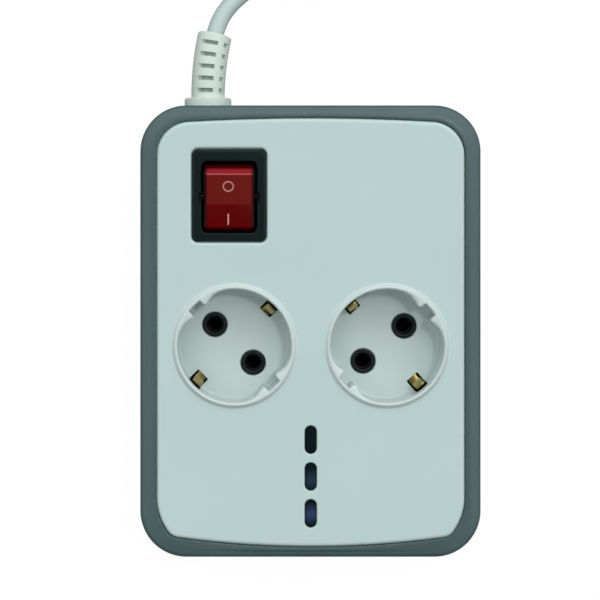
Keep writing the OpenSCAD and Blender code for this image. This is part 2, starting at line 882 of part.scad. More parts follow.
module line_busbar() { color("goldenrod") busbar(1, busbar_tab_l); }
module neutral_busbar() { color("goldenrod") busbar(-1, 0); }

// outline of one spring leg of the earth strap, in reach and height
function leg_points() =
    let (low = plate_top - strap_t, rise = strap_top - low,
         knee = low + strap_knee_share * rise, nose = low + strap_nose_share * rise)
    [[strap_r - strap_t, low], [strap_r, low], [strap_r, knee], [strap_r - strap_pinch, nose],
     [strap_r, strap_top], [strap_r - strap_t, strap_top],
     [strap_r - strap_pinch - strap_t, nose], [strap_r - strap_t, knee]];

module earth_strap(side) {
    low = plate_top - strap_t;
    color("goldenrod") at_socket(side) rotate(earth_angle(side)) {
        block([2 * strap_r, strap_w, strap_t], low);
        for (turn = [0, 180]) rotate(turn) translate([0, strap_w / 2, 0]) rotate([90, 0, 0])
            linear_extrude(strap_w) polygon(leg_points());
        translate([strap_r - strap_t, -strap_w / 2, low - strap_tab_l])
            cube([strap_t, strap_w, strap_tab_l + strap_t]);
    }
}

module earth_strap_left() { earth_strap(-1); }
module earth_strap_right() { earth_strap(1); }

// Fasteners and feet

module case_screws() {
    color("silver") at_case_screws() translate([0, 0, screw_seat_z])
        screw(screw_head_r, screw_head_t, screw_r, screw_l);
}

module well_screws() {
    color("silver") for (side = [-1, 1]) at_ears(side) translate([0, 0, ear_z])
        screw(ear_head_r, ear_head_t, ear_screw_r, ear_screw_l);
}

module rubber_feet() {
    color("black") at_feet() rotate_extrude() polygon(concat(
        [[0, 0]], arc([foot_r - foot_round, foot_round], foot_round, -90, 0, 4),
        [[foot_r, foot_t], [0, foot_t]]));
}

// Rocker switch

module switch_housing() {
    shift = mouth_y - switch_y;
    color("#1e2426") at_switch() difference() {
        union() {
            translate([0, 0, recess_z]) linear_extrude(bezel_t)
                polygon(round_rect(bezel_w, bezel_h, bezel_r, 5));
            block([body_w, body_h, body_deep + cut], body_z);
            for (end = [-1, 1]) translate([0, end * (body_h + snap_t - cut) / 2, 0])
                block([snap_w, snap_t + cut, snap_h],
                    recess_z - recess_floor_t - fit_gap - snap_h);
        }
        translate([0, shift, body_floor]) linear_extrude(bezel_top - body_floor + cut)
            polygon(round_rect(mouth_w, mouth_h, mouth_r, 4));
        translate([0, shift, 0]) block([mouth_w + 2 * notch_deep, notch_w, notch_h + cut],
            bezel_top - notch_h);
        translate([-body_w / 2 - cut, shift, pivot_z]) rotate([0, 90, 0])
            cylinder(r = pivot_r + pivot_gap, h = body_w + 2 * cut);
        for (y = [shift, shift + load_y]) translate([0, y, 0]) at_poles()
            block([stem_w + 2 * fit_gap, blade_t + 2 * fit_gap, body_floor_t + 2 * cut],
                body_z - cut);
    }
    color("#1e2426") at_switch() block([divider_t, body_h - 2 * wall, divider_h + cut],
        body_floor - cut);
}

function rocker_profile() =
    let (corner = atan2(rocker_corner_z, rocker_corner_y))
    concat(
        arc([0, 0], rocker_end_r, -rocker_skirt, corner, 6),
        [[rocker_valley_y, rocker_valley_z]],
        arc([0, 0], rocker_end_r, 180 - corner, 180 + rocker_skirt, 6));

// lays a profile in the Y-Z plane and gives it a width along X
module across(w) {
    rotate([90, 0, 90]) translate([0, 0, -w / 2]) linear_extrude(w) children();
}

module rocker() {
    pocket_top = rocker_valley_z - rocker_top_t;
    pocket_h = 2 * (rocker_end_r - rocker_wall) * cos(rocker_skirt) - 2 * rocker_wall;
    color("darkred") at_pivot() rotate([rocker_tilt, 0, 0]) {
        difference() {
            across(rocker_w) polygon(rocker_profile());
            block([rocker_w - 2 * rocker_wall, pocket_h, rocker_end_r + pocket_top],
                -rocker_end_r);
        }
        for (x = [-1, 1]) translate([x * (rocker_w / 2 - cut), 0, 0]) rotate([0, x * 90, 0])
            cylinder(r = pivot_r, h = pivot_l + cut);
        at_poles() translate([0, 0, -rocker_post_l])
            ring_bar(rocker_post_r, plunger_r + plunger_gap, rocker_post_l + pocket_top + cut);
    }
}

module rocker_plungers() {
    color("ivory") at_pivot() rotate([rocker_tilt, 0, 0]) at_poles() {
        translate([0, 0, plunger_r - plunger_tip])
            cylinder(r = plunger_r, h = plunger_tip - plunger_top - plunger_r);
        translate([0, 0, plunger_r - plunger_tip]) sphere(r = plunger_r);
    }
}

module rocker_springs() {
    low = -plunger_top + fit_gap + spring_wire_r;
    high = rocker_valley_z - rocker_top_t - fit_gap - spring_wire_r;
    steps = 8 * spring_turns;
    path = [for (i = [0:steps]) let (a = 45 * i)
        [spring_r * cos(a), spring_r * sin(a), low + (high - low) * i / steps]];
    color("silver") at_pivot() rotate([rocker_tilt, 0, 0]) at_poles()
        tube(path, spring_wire_r, 6, [0, 1, 0], [0, 1, 0]);
}

module neon_lamp() {
    color("orange") at_pivot() rotate([rocker_tilt, 0, 0])
        translate([0, lamp_y - lamp_l / 2 + lamp_r, lamp_z]) rotate([-90, 0, 0]) {
            cylinder(r = lamp_r, h = lamp_l - lamp_r);
            sphere(r = lamp_r);
        }
}

module contact_lever(x) {
    color("peru") translate([x - switch_x, mouth_y, lever_z]) rotate([-lever_tilt, 0, 0]) {
        block([lever_w, lever_l, lever_t], 0);
        translate([0, button_y, -button_t]) cylinder(r = button_r, h = button_t + lever_t / 2);
    }
}

module contact_lever_line() { contact_lever(-pole_x); }
module contact_lever_neutral() { contact_lever(pole_x); }

module blade(top) {
    block([blade_w, blade_t, body_z - fit_gap - blade_z], blade_z);
    block([stem_w, blade_t, top - blade_z], blade_z);
}

module switch_terminals() {
    drop = button_y * sin(lever_tilt) + button_t;
    fixed_top = lever_z - drop - seat_gap;
    arm_z = fixed_top - button_t - blade_t;
    color("tan") translate([-switch_x, mouth_y, 0]) at_poles() {
        blade(lever_z - seat_gap);
        translate([0, load_y, 0]) blade(arm_z + blade_t);
        translate([0, load_y + blade_t / 2 - rest_arm_l / 2, 0])
            block([stem_w, rest_arm_l, blade_t], arm_z);
        translate([0, button_y, arm_z + blade_t / 2])
            cylinder(r = button_r, h = button_t + blade_t / 2);
    }
}

module spade_connectors() {
    color("white") translate([-switch_x, mouth_y, 0]) at_poles()
        for (y = [0, load_y]) translate([0, y, 0]) difference() {
            block([spade_w, spade_t, spade_l], spade_z);
            block([blade_w + 2 * fit_gap, blade_t + 2 * fit_gap, spade_l],
                blade_z - fit_gap);
        }
}

// Circuit board

module circuit_board() {
    color("darkgreen") difference() {
        translate([0, board_y, 0]) block([board_w, board_h, board_t], board_z);
        at_standoffs() translate([0, 0, board_z - cut])
            cylinder(r = board_screw_r + fit_gap, h = board_t + 2 * cut);
    }
}

module board_screws() {
    color("silver") at_standoffs() translate([0, 0, board_top]) rotate([180, 0, 0])
        screw(board_head_r, board_head_t, board_screw_r, board_screw_l);
}

// a part hanging under the board
module hung(size, at) {
    translate(concat(at, 0)) block(size, board_z - size[2]);
}

module power_relay() { color("royalblue") hung(relay_size, relay_at); }
module film_capacitor() { color("gold") hung(film_size, film_at); }

module filter_capacitor() {
    color("black") translate(concat(can_at, board_z - can_l)) cylinder(r = can_r, h = can_l);
}

module varistor() {
    color("steelblue") translate(concat(disc_at, board_z - disc_r - disc_lead)) {
        rotate([90, 0, 0]) translate([0, 0, -disc_t / 2]) cylinder(r = disc_r, h = disc_t);
        for (x = [-disc_r / 2, disc_r / 2]) translate([x, 0, 0])
            cylinder(r = disc_lead / 2, h = disc_r + disc_lead, $fn = 16);
    }
}

module fuse() {
    color("lightblue") translate(concat(fuse_at, board_z - fuse_drop)) rotate([0, 90, 0])
        translate([0, 0, -fuse_l / 2]) cylinder(r = fuse_r, h = fuse_l);
}

module fuse_clips() {
    color("silver") translate(concat(fuse_at, 0)) for (x = [-1, 1])
        translate([x * (fuse_l - clip_w) / 2, 0, 0]) for (y = [-1, 1])
            translate([0, y * (fuse_r + fit_gap + clip_t / 2), 0])
                block([clip_w, clip_t, fuse_drop + fuse_r], board_z - fuse_drop - fuse_r);
}

module rectifier_diodes() {
    color("black") for (i = [0:3])
        translate([diode_at[0] + i * diode_pitch, diode_at[1], board_top + diode_r])
            rotate([90, 0, 0]) cylinder(r = diode_r, h = diode_l);
}

module controller_chip() {
    color("black") translate(concat(chip_at, 0)) {
        block(chip_size, board_top);
        for (x = [-1, 1], y = [-1, 1])
            translate([x * chip_size[0] / 2, y * chip_size[1] / 4, 0])
                block([chip_leg * 1.6, chip_leg / 2, chip_leg / 2], board_top);
    }
}

module chip_resistors() {
    color("dimgray") for (i = [0:4])
        translate([resistor_at[0], resistor_at[1] - i * resistor_pitch, 0])
            block(resistor_size, board_top);
}

module status_leds() {
    color("midnightblue") at_windows() translate([0, 0, board_top]) {
        cylinder(r = led_r, h = led_h - led_r);
        translate([0, 0, led_h - led_r]) sphere(r = led_r);
    }
}

module light_shroud() {
    shroud_l = 2 * window_pitch + window_h + 2 * shroud_wall;
    h = skin_z - lens_base_t - board_top;
    color("white") difference() {
        translate([0, -window_y, 0]) block([shroud_w, shroud_l, h], board_top);
        at_windows() block([shroud_w - 2 * shroud_wall, window_h, h + 2 * cut],
            board_top - cut);
    }
}

module indicator_lens() {
    base_l = 2 * window_pitch + window_h + 2 * shroud_wall;
    color("#142430") {
        translate([0, -window_y, 0]) block([lens_base_w, base_l, lens_base_t],
            skin_z - lens_base_t);
        at_windows() translate([0, 0, skin_z - lens_base_t / 2])
            linear_extrude(lens_base_t / 2 + skin_t - lens_sink)
                obround(window_w - 2 * lens_gap, window_h - 2 * lens_gap);
    }
}

// Strain relief and clamp

// frame with +Z along the lead at the flange's outer face, and +X to the bend
module at_relief() {
    translate([-relief_x, relief_top_y, relief_z]) rotate([0, relief_roll, 0])
        rotate([-90, 0, 0]) children();
}

// a round bar that follows the sleeve's bend
module bent(r, from, to) {
    translate([bend_r, 0, 0]) rotate([90, 0, 0]) rotate(180 - to)
        rotate_extrude(angle = to - from) translate([bend_r, 0]) circle(r = r);
}

// the sleeve's cross-section at a distance along the bend
module along_bend(distance) {
    translate([bend_r, 0, 0]) rotate([0, distance * 180 / (PI * bend_r), 0])
        translate([-bend_r, 0, 0]) children();
}

module slot_row() {
    for (a = [0:90:270]) rotate(a - slot_turn + 90 - slot_arc / 2)
        rotate_extrude(angle = slot_arc) translate([slot_core_r, -slot_h / 2])
            square([sleeve_r, slot_h]);
}

module strain_relief() {
    neck_l = wall + 2 * fit_gap;
    color("white") at_relief() difference() {
        union() {
            bent(sleeve_r, -bend_overrun, sleeve_bend);
            translate([0, 0, -relief_flange_t + fit_gap]) rotate_extrude() polygon(concat(
                [[0, 0], [relief_flange_r, 0]],
                arc([relief_flange_r - flange_round, relief_flange_t - fit_gap - flange_round],
                    flange_round, 0, 90, 4),
                [[0, relief_flange_t - fit_gap]]));
            translate([0, 0, -relief_flange_t - neck_l])
                cylinder(r = relief_neck_r, h = neck_l + cut);
            translate([0, 0, -relief_flange_t - wall - fit_gap - relief_inner_t])
                cylinder(r = relief_flange_r, h = relief_inner_t);
        }
        bent(cord_d / 2 + relief_bore_gap, -bend_overrun, sleeve_bend + bend_overrun);
        translate([0, 0, -case_h / 4])
            cylinder(r = cord_d / 2 + 2 * relief_bore_gap, h = case_h / 4);
        for (i = [0:slot_rows - 1]) along_bend(slot_first + i * slot_pitch) slot_row();
    }
}

module sheath_end() {
    bend = [for (i = [0:6]) let (a = sleeve_bend * i / 6)
        [bend_r * (1 - cos(a)), 0, bend_r * sin(a)]];
    color("whitesmoke") at_relief()
        tube(concat([[0, 0, sheath_end_y - relief_top_y]], bend), cord_d / 2, 16, [0, 0, 1],
            [sin(sleeve_bend), 0, cos(sleeve_bend)]);
}

module cord_clamp() {
    color("dimgray") difference() {
        translate([-relief_x, clamp_y, 0])
            block([2 * (clamp_x + clamp_post_r), clamp_w, clamp_t],
                relief_z + cord_d / 2 + fit_gap);
        at_clamp_posts() translate([0, 0, relief_z])
            cylinder(r = clamp_screw_r + fit_gap, h = cord_d + clamp_t);
    }
}

module clamp_screws() {
    color("silver") at_clamp_posts()
        translate([0, 0, relief_z + cord_d / 2 + fit_gap + clamp_t]) rotate([180, 0, 0])
            screw(board_head_r, board_head_t, clamp_screw_r, clamp_screw_l);
}

// Wires inside, each along a few named places

module wire(path, first, last) {
    tube(path, wire_r, 8, first, last, [0.2, 0.1, 1] + 2 * [abs(first[2]), 0, 0]);
}

low_rise = 2.5;
low_z = floor_z + low_rise;
corridor_x = 6.6;
corridor_rise = 8.5;
corridor_z = floor_z + corridor_rise;
spade_low = spade_z - fit_gap;
load_spade_y = mouth_y + load_y;

// from a connector's mouth down, then on to the point given
function from_spade(x, y) = [[x, y, spade_low], [x, y, low_z + wire_r]];

module line_wires() {
    pole = -switch_x - pole_x;
    post = carrier_post_r;
    color("saddlebrown") {
        wire([[-relief_x - core_x, sheath_end_y, relief_z + core_z],
            [-relief_x - core_x, sheath_end_y - 2 * wire_r, relief_z - 2 * post],
            [-relief_x, sheath_end_y - 2 * post, spade_z],
            [pole, load_spade_y + 2 * wire_r, low_z],
            [pole, load_spade_y, low_z + wire_r], [pole, load_spade_y, spade_low]],
            [0, -1, 0], [0, 0, 1]);
        wire(concat(from_spade(pole, mouth_y), [
            [pole + wire_r, mouth_y - 3 * post, low_z],
            [-switch_x + post, middle_screw_top_y + 2 * post, low_z],
            [-socket_x / 2, middle_screw_top_y + post, corridor_z - post],
            [-corridor_x, middle_screw_top_y - 3 * post, corridor_z],
            [-corridor_x, socket_y, corridor_z],
            [-corridor_x, -middle_screw_bottom_y - post, corridor_z],
            [-corridor_x - post, standoff_top_y, board_z - 3 * post],
            [-corridor_x - post, standoff_top_y - post, board_z]]),
            [0, 0, -1], [0, 0, 1]);
        wire([[standoff_x - 3 * post, standoff_top_y + post, board_z],
            [standoff_x, standoff_top_y + 2 * post, board_z - 3 * post],
            [standoff_x + post, -middle_screw_bottom_y, corridor_z],
            [pin_place(1, 1)[0] + busbar_w + post, socket_y - post, corridor_z - 2 * wire_r],
            [pin_place(1, 1)[0] + (busbar_w + busbar_tab_l) / 2, pin_place(1, 1)[1], busbar_z
                + 3 * busbar_t],
            [pin_place(1, 1)[0] + (busbar_w + busbar_tab_l) / 2, pin_place(1, 1)[1], busbar_z]],
            [0, 0, -1], [0, 0, -1]);
    }
}

module neutral_wires() {
    pole = -switch_x + pole_x;
    post = carrier_post_r;
    tap = pin_place(1, -1);
    color("royalblue") {
        wire([[-relief_x, sheath_end_y, relief_z - 3 * core_z],
            [-relief_x + post, sheath_end_y - 2 * wire_r, relief_z - 3 * post],
            [-switch_x + post / 2, sheath_end_y - 1.6 * post, spade_z],
            [pole, load_spade_y + 2 * wire_r, low_z],
            [pole, load_spade_y, low_z + wire_r], [pole, load_spade_y, spade_low]],
            [0, -1, 0], [0, 0, 1]);
        wire(concat(from_spade(pole, mouth_y), [
            [pole + post, mouth_y - 2 * post, low_z],
            [-socket_x / 2 + post, middle_screw_top_y + 5 * post, low_z],
            [2 * post, middle_screw_top_y + 3.6 * post, corridor_z - post],
            [corridor_x + post / 2, middle_screw_top_y, corridor_z],
            [corridor_x, socket_y, corridor_z],
            [corridor_x, -middle_screw_bottom_y - post, corridor_z],
            [corridor_x + wire_r, standoff_top_y, board_z - 3 * post],
            [corridor_x + wire_r, standoff_top_y - post, board_z]]),
            [0, 0, -1], [0, 0, 1]);
        wire([[tap[0] - post, standoff_top_y + post / 2, board_z],
            [tap[0] - 2 * post, standoff_top_y + 2 * post, board_z - 4 * post],
            [tap[0] - 3 * post, -middle_screw_bottom_y + 3 * wire_r, corridor_z],
            [tap[0] - 3.4 * post, tap[1] - post, busbar_z + busbar_t + 3 * wire_r],
            [tap[0] - 3.4 * post, tap[1], busbar_z + busbar_t + 2 * wire_r],
            [tap[0] - 3.4 * post, tap[1], busbar_z + busbar_t]],
            [0, 0, -1], [0, 0, -1]);
    }
}

// where a wire meets the tab of an earth strap
function strap_tab(side) = let (r = strap_r + wire_r + fit_gap)
    [side * socket_x + r * cos(earth_angle(side)), socket_y + r * sin(earth_angle(side)),
     plate_z - 1.5 * wire_r];

// where a wire ends on the face of an earth strap's tab
function strap_face(side) = let (r = strap_r + fit_gap)
    [side * socket_x + r * cos(earth_angle(side)), socket_y + r * sin(earth_angle(side)),
     plate_z - 3.9 * wire_r];

module earth_wires() {
    left = strap_tab(-1);
    post = carrier_post_r;
    color("yellowgreen") {
        wire([[-relief_x + core_x, sheath_end_y, relief_z + core_z],
            [-relief_x + 2 * post, sheath_end_y - wire_r, relief_z],
            [-socket_x / 2, sheath_end_y - post, relief_z - 2 * post],
            [-socket_x / 2 + post / 2, mouth_y + post, relief_z - 4 * post],
            [-socket_x / 2 + post / 2, middle_screw_top_y + 2 * post, relief_z - 3 * post],
            [left[0], left[1] + 3 * post, left[2] - post],
            left], [0, -1, 0], [0, -1, 0.3]);
        wire([strap_face(-1), strap_face(-1) + [post, 0.9 * post, 0],
            [0, left[1] + 1.6 * post, left[2] - 2.4 * wire_r],
            strap_face(1) + [-post, 0.9 * post, 0], strap_face(1)], [1, 1, 0], [1, -1, 0]);
    }
}

// Mains lead outside

tip_heading = [sin(sleeve_bend) * cos(relief_roll), cos(sleeve_bend),
    -sin(sleeve_bend) * sin(relief_roll)];
coil_exit = 360 * coil_turns - 90;
exit_heading = [-sin(coil_exit), cos(coil_exit), 0];

// the loops spiral in on the upper layer and out again on the lower one
function loop_r(t) = coil_r - coil_pitch * min(t, coil_turns - t);

function coil_point(t) =
    let (half = coil_turns / 2, a = 360 * t - 90, r = loop_r(t),
         fall = min(1, max(0, (t - half) * 2 + 0.5)))
    [coil_x + r * cos(a), coil_y + r * sin(a), coil_low_z + coil_step * (1 - fall)];

coil_steps = round(coil_turns * coil_rings);
coil_loops = [for (i = [0:coil_steps]) coil_point(coil_turns * i / coil_steps)];
coil_path = concat([coil_loops[0] - [cord_d, 0, 0]], coil_loops,
    [coil_loops[coil_steps] + cord_d * exit_heading]);
coil_gap = min([for (i = [0:coil_steps - coil_rings / 2])
    min([for (j = [i + coil_rings / 2:coil_steps]) norm(coil_loops[i] - coil_loops[j])])])
    - cord_d;
function path_length(p) = len(p) < 2 ? 0 :
    [for (i = 1, l = 0; i <= len(p); i = i + 1,
        l = i <= len(p) ? l + norm(p[i - 1] - p[i - 2]) : l) l][len(p) - 1];
echo(least_gap_in_coil = coil_gap);
echo(length_of_free_lead = path_length(run_route) + path_length(coil_path)
    + path_length(tail_route));

module cord_run() {
    color("gainsboro") tube(run_route, cord_d / 2, cord_sides, tip_heading, [1, 0, 0]);
}

module cord_coil() {
    color("gainsboro") tube(coil_path, cord_d / 2, coil_sides, [1, 0, 0], exit_heading,
        [0, 0, 1]);
}

module cord_tail() {
    color("gainsboro") tube(tail_route, cord_d / 2, cord_sides, exit_heading, [0, 1, 0]);
}

// a flat loop round the bundle of turns
module cord_ties() {
    low = coil_low_z - cord_d / 2 - tie_t - fit_gap;
    high = coil_low_z + coil_step + cord_d / 2 + tie_t + fit_gap;
    color("black") translate([coil_x, coil_y, 0]) for (a = tie_angles) {
        first = (a + 90) / 360;
        radii = [for (i = [0:floor(coil_turns - first)]) loop_r(first + i)];
        inner_r = min(radii) - cord_d / 2 - seat_gap;
        outer_r = max(radii) + cord_d / 2 + seat_gap;
        rotate(a) difference() {
            translate([inner_r - tie_t, -tie_w / 2, low])
                cube([outer_r - inner_r + 2 * tie_t, tie_w, high - low]);
            translate([inner_r, -tie_w / 2 - cut, low + tie_t])
                cube([outer_r - inner_r, tie_w + 2 * cut, high - low - 2 * tie_t]);
        }
    }
}

// frame with +Z along the plug, from its cord end
module at_plug() {
    translate([plug_x, plug_y, plug_z]) rotate([-90, 0, 0]) children();
}

plug_face = plug_relief_l + plug_grip_l + plug_body_l;

module plug_body() {
    shoulder = plug_relief_l + plug_grip_l;
    color("gainsboro") at_plug() difference() {
        rotate_extrude() polygon(concat(
            [[0, 0], [plug_relief_r, 0], [plug_relief_end_r, plug_relief_l],
             [plug_neck_r, plug_relief_l + plug_neck_r / 4],
             [plug_waist_r, shoulder - plug_neck_r / 2], [plug_r, shoulder]],
            arc([plug_r - plug_face_round, plug_face - plug_face_round], plug_face_round,
                0, 90, 4),
            [[0, plug_face]]));
        for (a = [0, 180]) rotate(a)
            translate([plug_r - plug_groove_deep, -plug_groove_w / 2, shoulder])
                cube([plug_groove_deep + cut, plug_groove_w, plug_body_l + cut]);
        for (a = [90, 270]) rotate(a)
            translate([plug_r - plug_earth_sink, -plug_earth_w / 2 - fit_gap,
                plug_face - plug_earth_l])
                cube([plug_earth_sink + cut, plug_earth_w + 2 * fit_gap, plug_earth_l + cut]);
        for (x = [-1, 1]) translate([x * pin_pitch / 2, 0, plug_face - plug_body_l / 2])
            cylinder(r = plug_pin_root_r + fit_gap / 2, h = plug_body_l);
        for (i = [1:plug_rib_count]) translate([0, 0, shoulder - plug_rib_pitch * i])
            difference() {
                cylinder(r = plug_r, h = plug_rib_w);
                translate([0, 0, -cut]) cylinder(r = plug_waist_r - plug_rib_w * i / 2
                    + plug_rib_w, h = plug_rib_w + 2 * cut);
            }
    }
}

module plug_pins() {
    color("silver") at_plug() for (x = [-1, 1])
        translate([x * pin_pitch / 2, 0, plug_face]) {
            root_l = plug_body_l / 2 + plug_pin_neck;
            translate([0, 0, -plug_body_l / 2])
                cylinder(r = plug_pin_root_r, h = root_l + cut);
            translate([0, 0, plug_pin_neck])
                cylinder(r = plug_pin_r, h = plug_pin_l - plug_pin_r - plug_pin_neck);
            translate([0, 0, plug_pin_l - plug_pin_r]) sphere(r = plug_pin_r);
        }
}

module plug_earth_contacts() {
    color("silver") at_plug() for (a = [90, 270]) rotate(a)
        translate([plug_r - plug_earth_sink, -plug_earth_w / 2, plug_face - plug_earth_l])
            cube([plug_earth_t, plug_earth_w, plug_earth_l - fit_gap]);
}

rear_case();
front_frame();
front_panel();
socket_well_left();
socket_well_right();
contact_carrier_left();
contact_carrier_right();
line_busbar();
neutral_busbar();
earth_strap_left();
earth_strap_right();
well_screws();
case_screws();
rubber_feet();
switch_housing();
rocker();
rocker_plungers();
rocker_springs();
neon_lamp();
contact_lever_line();
contact_lever_neutral();
switch_terminals();
spade_connectors();
circuit_board();
board_screws();
power_relay();
film_capacitor();
filter_capacitor();
varistor();
fuse();
fuse_clips();
rectifier_diodes();
controller_chip();
chip_resistors();
status_leds();
light_shroud();
indicator_lens();
strain_relief();
cord_clamp();
clamp_screws();
line_wires();
neutral_wires();
earth_wires();
sheath_end();
cord_run();
cord_coil();
cord_tail();
cord_ties();
plug_body();
plug_pins();
plug_earth_contacts();
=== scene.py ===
from bisect import bisect_right
from math import asin, atan2, cos, degrees, pi, radians, sin, sqrt, tan

import bmesh
import bpy
from mathutils import Matrix, Vector


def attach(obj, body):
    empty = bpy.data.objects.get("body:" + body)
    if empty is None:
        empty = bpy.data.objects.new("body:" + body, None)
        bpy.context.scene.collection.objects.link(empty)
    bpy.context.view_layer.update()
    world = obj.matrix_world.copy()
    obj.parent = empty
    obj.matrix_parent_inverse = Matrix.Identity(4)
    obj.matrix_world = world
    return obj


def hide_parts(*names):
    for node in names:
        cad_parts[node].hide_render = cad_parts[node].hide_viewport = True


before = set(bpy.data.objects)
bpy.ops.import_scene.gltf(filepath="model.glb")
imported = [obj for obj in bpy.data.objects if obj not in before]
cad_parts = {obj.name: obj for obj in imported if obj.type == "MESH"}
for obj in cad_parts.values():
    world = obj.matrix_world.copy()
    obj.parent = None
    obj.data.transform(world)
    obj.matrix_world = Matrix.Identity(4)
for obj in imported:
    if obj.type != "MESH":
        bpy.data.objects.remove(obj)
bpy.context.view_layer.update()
mm = 0.001  # all sizes below are millimetres, scaled by this on the way into a mesh
print("frame loaded:", len(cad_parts), "nodes")

# camera, straight above the panel with a shifted lens
photoView = {
    "over": (-31.24, 35.27),  # point of the panel right below the lens
    "height": 761.2,
    "lens": 125.2,
    "shift": (0.1333, -0.1183),
}
cameraData = bpy.data.cameras.new("photoCamera")
cameraData.lens = photoView["lens"]
cameraData.shift_x, cameraData.shift_y = photoView["shift"]
cameraData.clip_start, cameraData.clip_end = 0.01, 20
camera = bpy.data.objects.new("photoCamera", cameraData)
camera.location = [c * mm for c in (*photoView["over"], photoView["height"])]
bpy.context.collection.objects.link(camera)
bpy.context.scene.camera = camera
print("camera set")


# outlines, as lists of points in millimetres

def arc(cx, cy, radius, start, end, steps):
    angles = [radians(start + (end - start) * i / steps) for i in range(steps + 1)]
    return [(cx + radius * cos(a), cy + radius * sin(a)) for a in angles]


def circle(cx, cy, radius, steps=72):
    return arc(cx, cy, radius, 0, 360, steps)[:-1]


def roundRect(w, h, radius, steps=8, cx=0.0, cy=0.0):
    points = []
    for sx, sy, start in ((1, 1, 0), (-1, 1, 90), (-1, -1, 180), (1, -1, 270)):
        points += arc(cx + sx * (w / 2 - radius), cy + sy * (h / 2 - radius), radius,
                      start, start + 90, steps)
    return points


def obround(cx, cy, w, h, steps=16):
    up = arc(cx, cy + (h - w) / 2, w / 2, 0, 180, steps)
    return up + arc(cx, cy - (h - w) / 2, w / 2, 180, 360, steps)


def at(points, z):
    return [(p[0], p[1], z) for p in points]


def boxRings(box, levels, steps=8, centre=(0.0, 0.0)):
    # a box of width, height and corner radius, grown and lifted as each level says
    w, h, radius = box
    return [at(roundRect(w + 2 * grow, h + 2 * grow, radius + grow, steps, *centre), z)
            for grow, z in levels]


def discRings(centre, levels, steps):
    return [at(circle(*centre, radius, steps), z) for radius, z in levels]


def quarter(radius, steps):
    # (run, rise) pairs of a quarter round, from its start to its crest
    angles = [pi / 2 * i / steps for i in range(steps + 1)]
    return [(radius * (1 - cos(a)), radius * sin(a)) for a in angles]


def inward(points, depth):
    # moves a counter-clockwise outline inwards along its corners' halving lines
    moved = []
    for i, p in enumerate(points):
        before, after = Vector(points[i - 1]), Vector(points[(i + 1) % len(points)])
        here = Vector(p)
        a, b = (here - before).normalized(), (after - here).normalized()
        halving = Vector((-a.y - b.y, a.x + b.x)).normalized()
        moved.append(tuple(here + halving * depth / max(0.4, halving.dot(Vector((-a.y, a.x))))))
    return moved


def easeCorners(points, radii, steps=4):
    # rounds chosen corners: radii maps a corner's number to its radius
    eased = []
    for i, p in enumerate(points):
        if i not in radii:
            eased.append(tuple(p))
            continue
        here = Vector(p)
        a = (Vector(points[i - 1]) - here).normalized()
        b = (Vector(points[(i + 1) % len(points)]) - here).normalized()
        reach = radii[i] / tan(a.angle(b) / 2)
        start, end = here + a * reach, here + b * reach
        for step in range(steps + 1):
            t = step / steps
            eased.append(tuple(start * (1 - t) ** 2 + here * 2 * t * (1 - t) + end * t * t))
    return eased


# spaces

def shift(place):
    return Matrix.Translation([c * mm for c in place])


def turned(angle, axis):
    return Matrix.Rotation(radians(angle), 4, axis)


# meshes

def newObject(name, mesh, material):
    mesh.materials.clear()
    mesh.materials.append(material)
    piece = bpy.data.objects.new(name, mesh)
    bpy.context.collection.objects.link(piece)
    return piece


def dropObject(piece):
    mesh = piece.data
    bpy.data.objects.remove(piece)
    bpy.data.meshes.remove(mesh)


def smoothMesh(mesh, angle=32):
    mesh.polygons.foreach_set("use_smooth", [True] * len(mesh.polygons))
    mesh.set_sharp_from_angle(angle=radians(angle))


# the functions below add to one working mesh, and fromBmesh makes a piece of it and empties it
bm = bmesh.new()


def fromBmesh(name, finish, angle=32):
    bmesh.ops.remove_doubles(bm, verts=bm.verts, dist=0.00001 * mm)
    bmesh.ops.recalc_face_normals(bm, faces=bm.faces)
    mesh = bpy.data.meshes.new(name)
    bm.to_mesh(mesh)
    bm.clear()
    smoothMesh(mesh, angle)
    return newObject(name, mesh, finishes[finish])


def addRing(points, place=None):
    place = place or Matrix.Identity(4)
    return [bm.verts.new(place @ Vector((p[0] * mm, p[1] * mm, p[2] * mm))) for p in points]


def bridgeRings(rings):
    for a, b in zip(rings, rings[1:]):
        for i in range(len(a)):
            n = (i + 1) % len(a)
            bm.faces.new((a[i], a[n], b[n], b[i]))


def fillLevel(loops):
    edges = []
    for loop in loops:
        for i in range(len(loop)):
            a, b = loop[i], loop[(i + 1) % len(loop)]
            edges.append(bm.edges.get((a, b)) or bm.edges.new((a, b)))
    bmesh.ops.triangle_fill(bm, use_beauty=True, use_dissolve=False, edges=edges)


def stack(rings, closed=False, place=None):
    made = [addRing(ring, place) for ring in rings]
    bridgeRings(made + made[:1] if closed else made)
    if not closed:
        fillLevel([made[0]])
        fillLevel([made[-1]])


def plate(outer, holes=(), blinds=()):
    # one outer run of rings, holes that go through to its last level, and blind holes
    outerRings = [addRing(ring) for ring in outer]
    holeRings = [[addRing(ring) for ring in hole] for hole in holes]
    blindRings = [[addRing(ring) for ring in blind] for blind in blinds]
    for rings in [outerRings] + holeRings + blindRings:
        bridgeRings(rings)
    fillLevel([rings[0] for rings in [outerRings] + holeRings + blindRings])
    fillLevel([rings[-1] for rings in [outerRings] + holeRings])
    for rings in blindRings:
        fillLevel([rings[-1]])


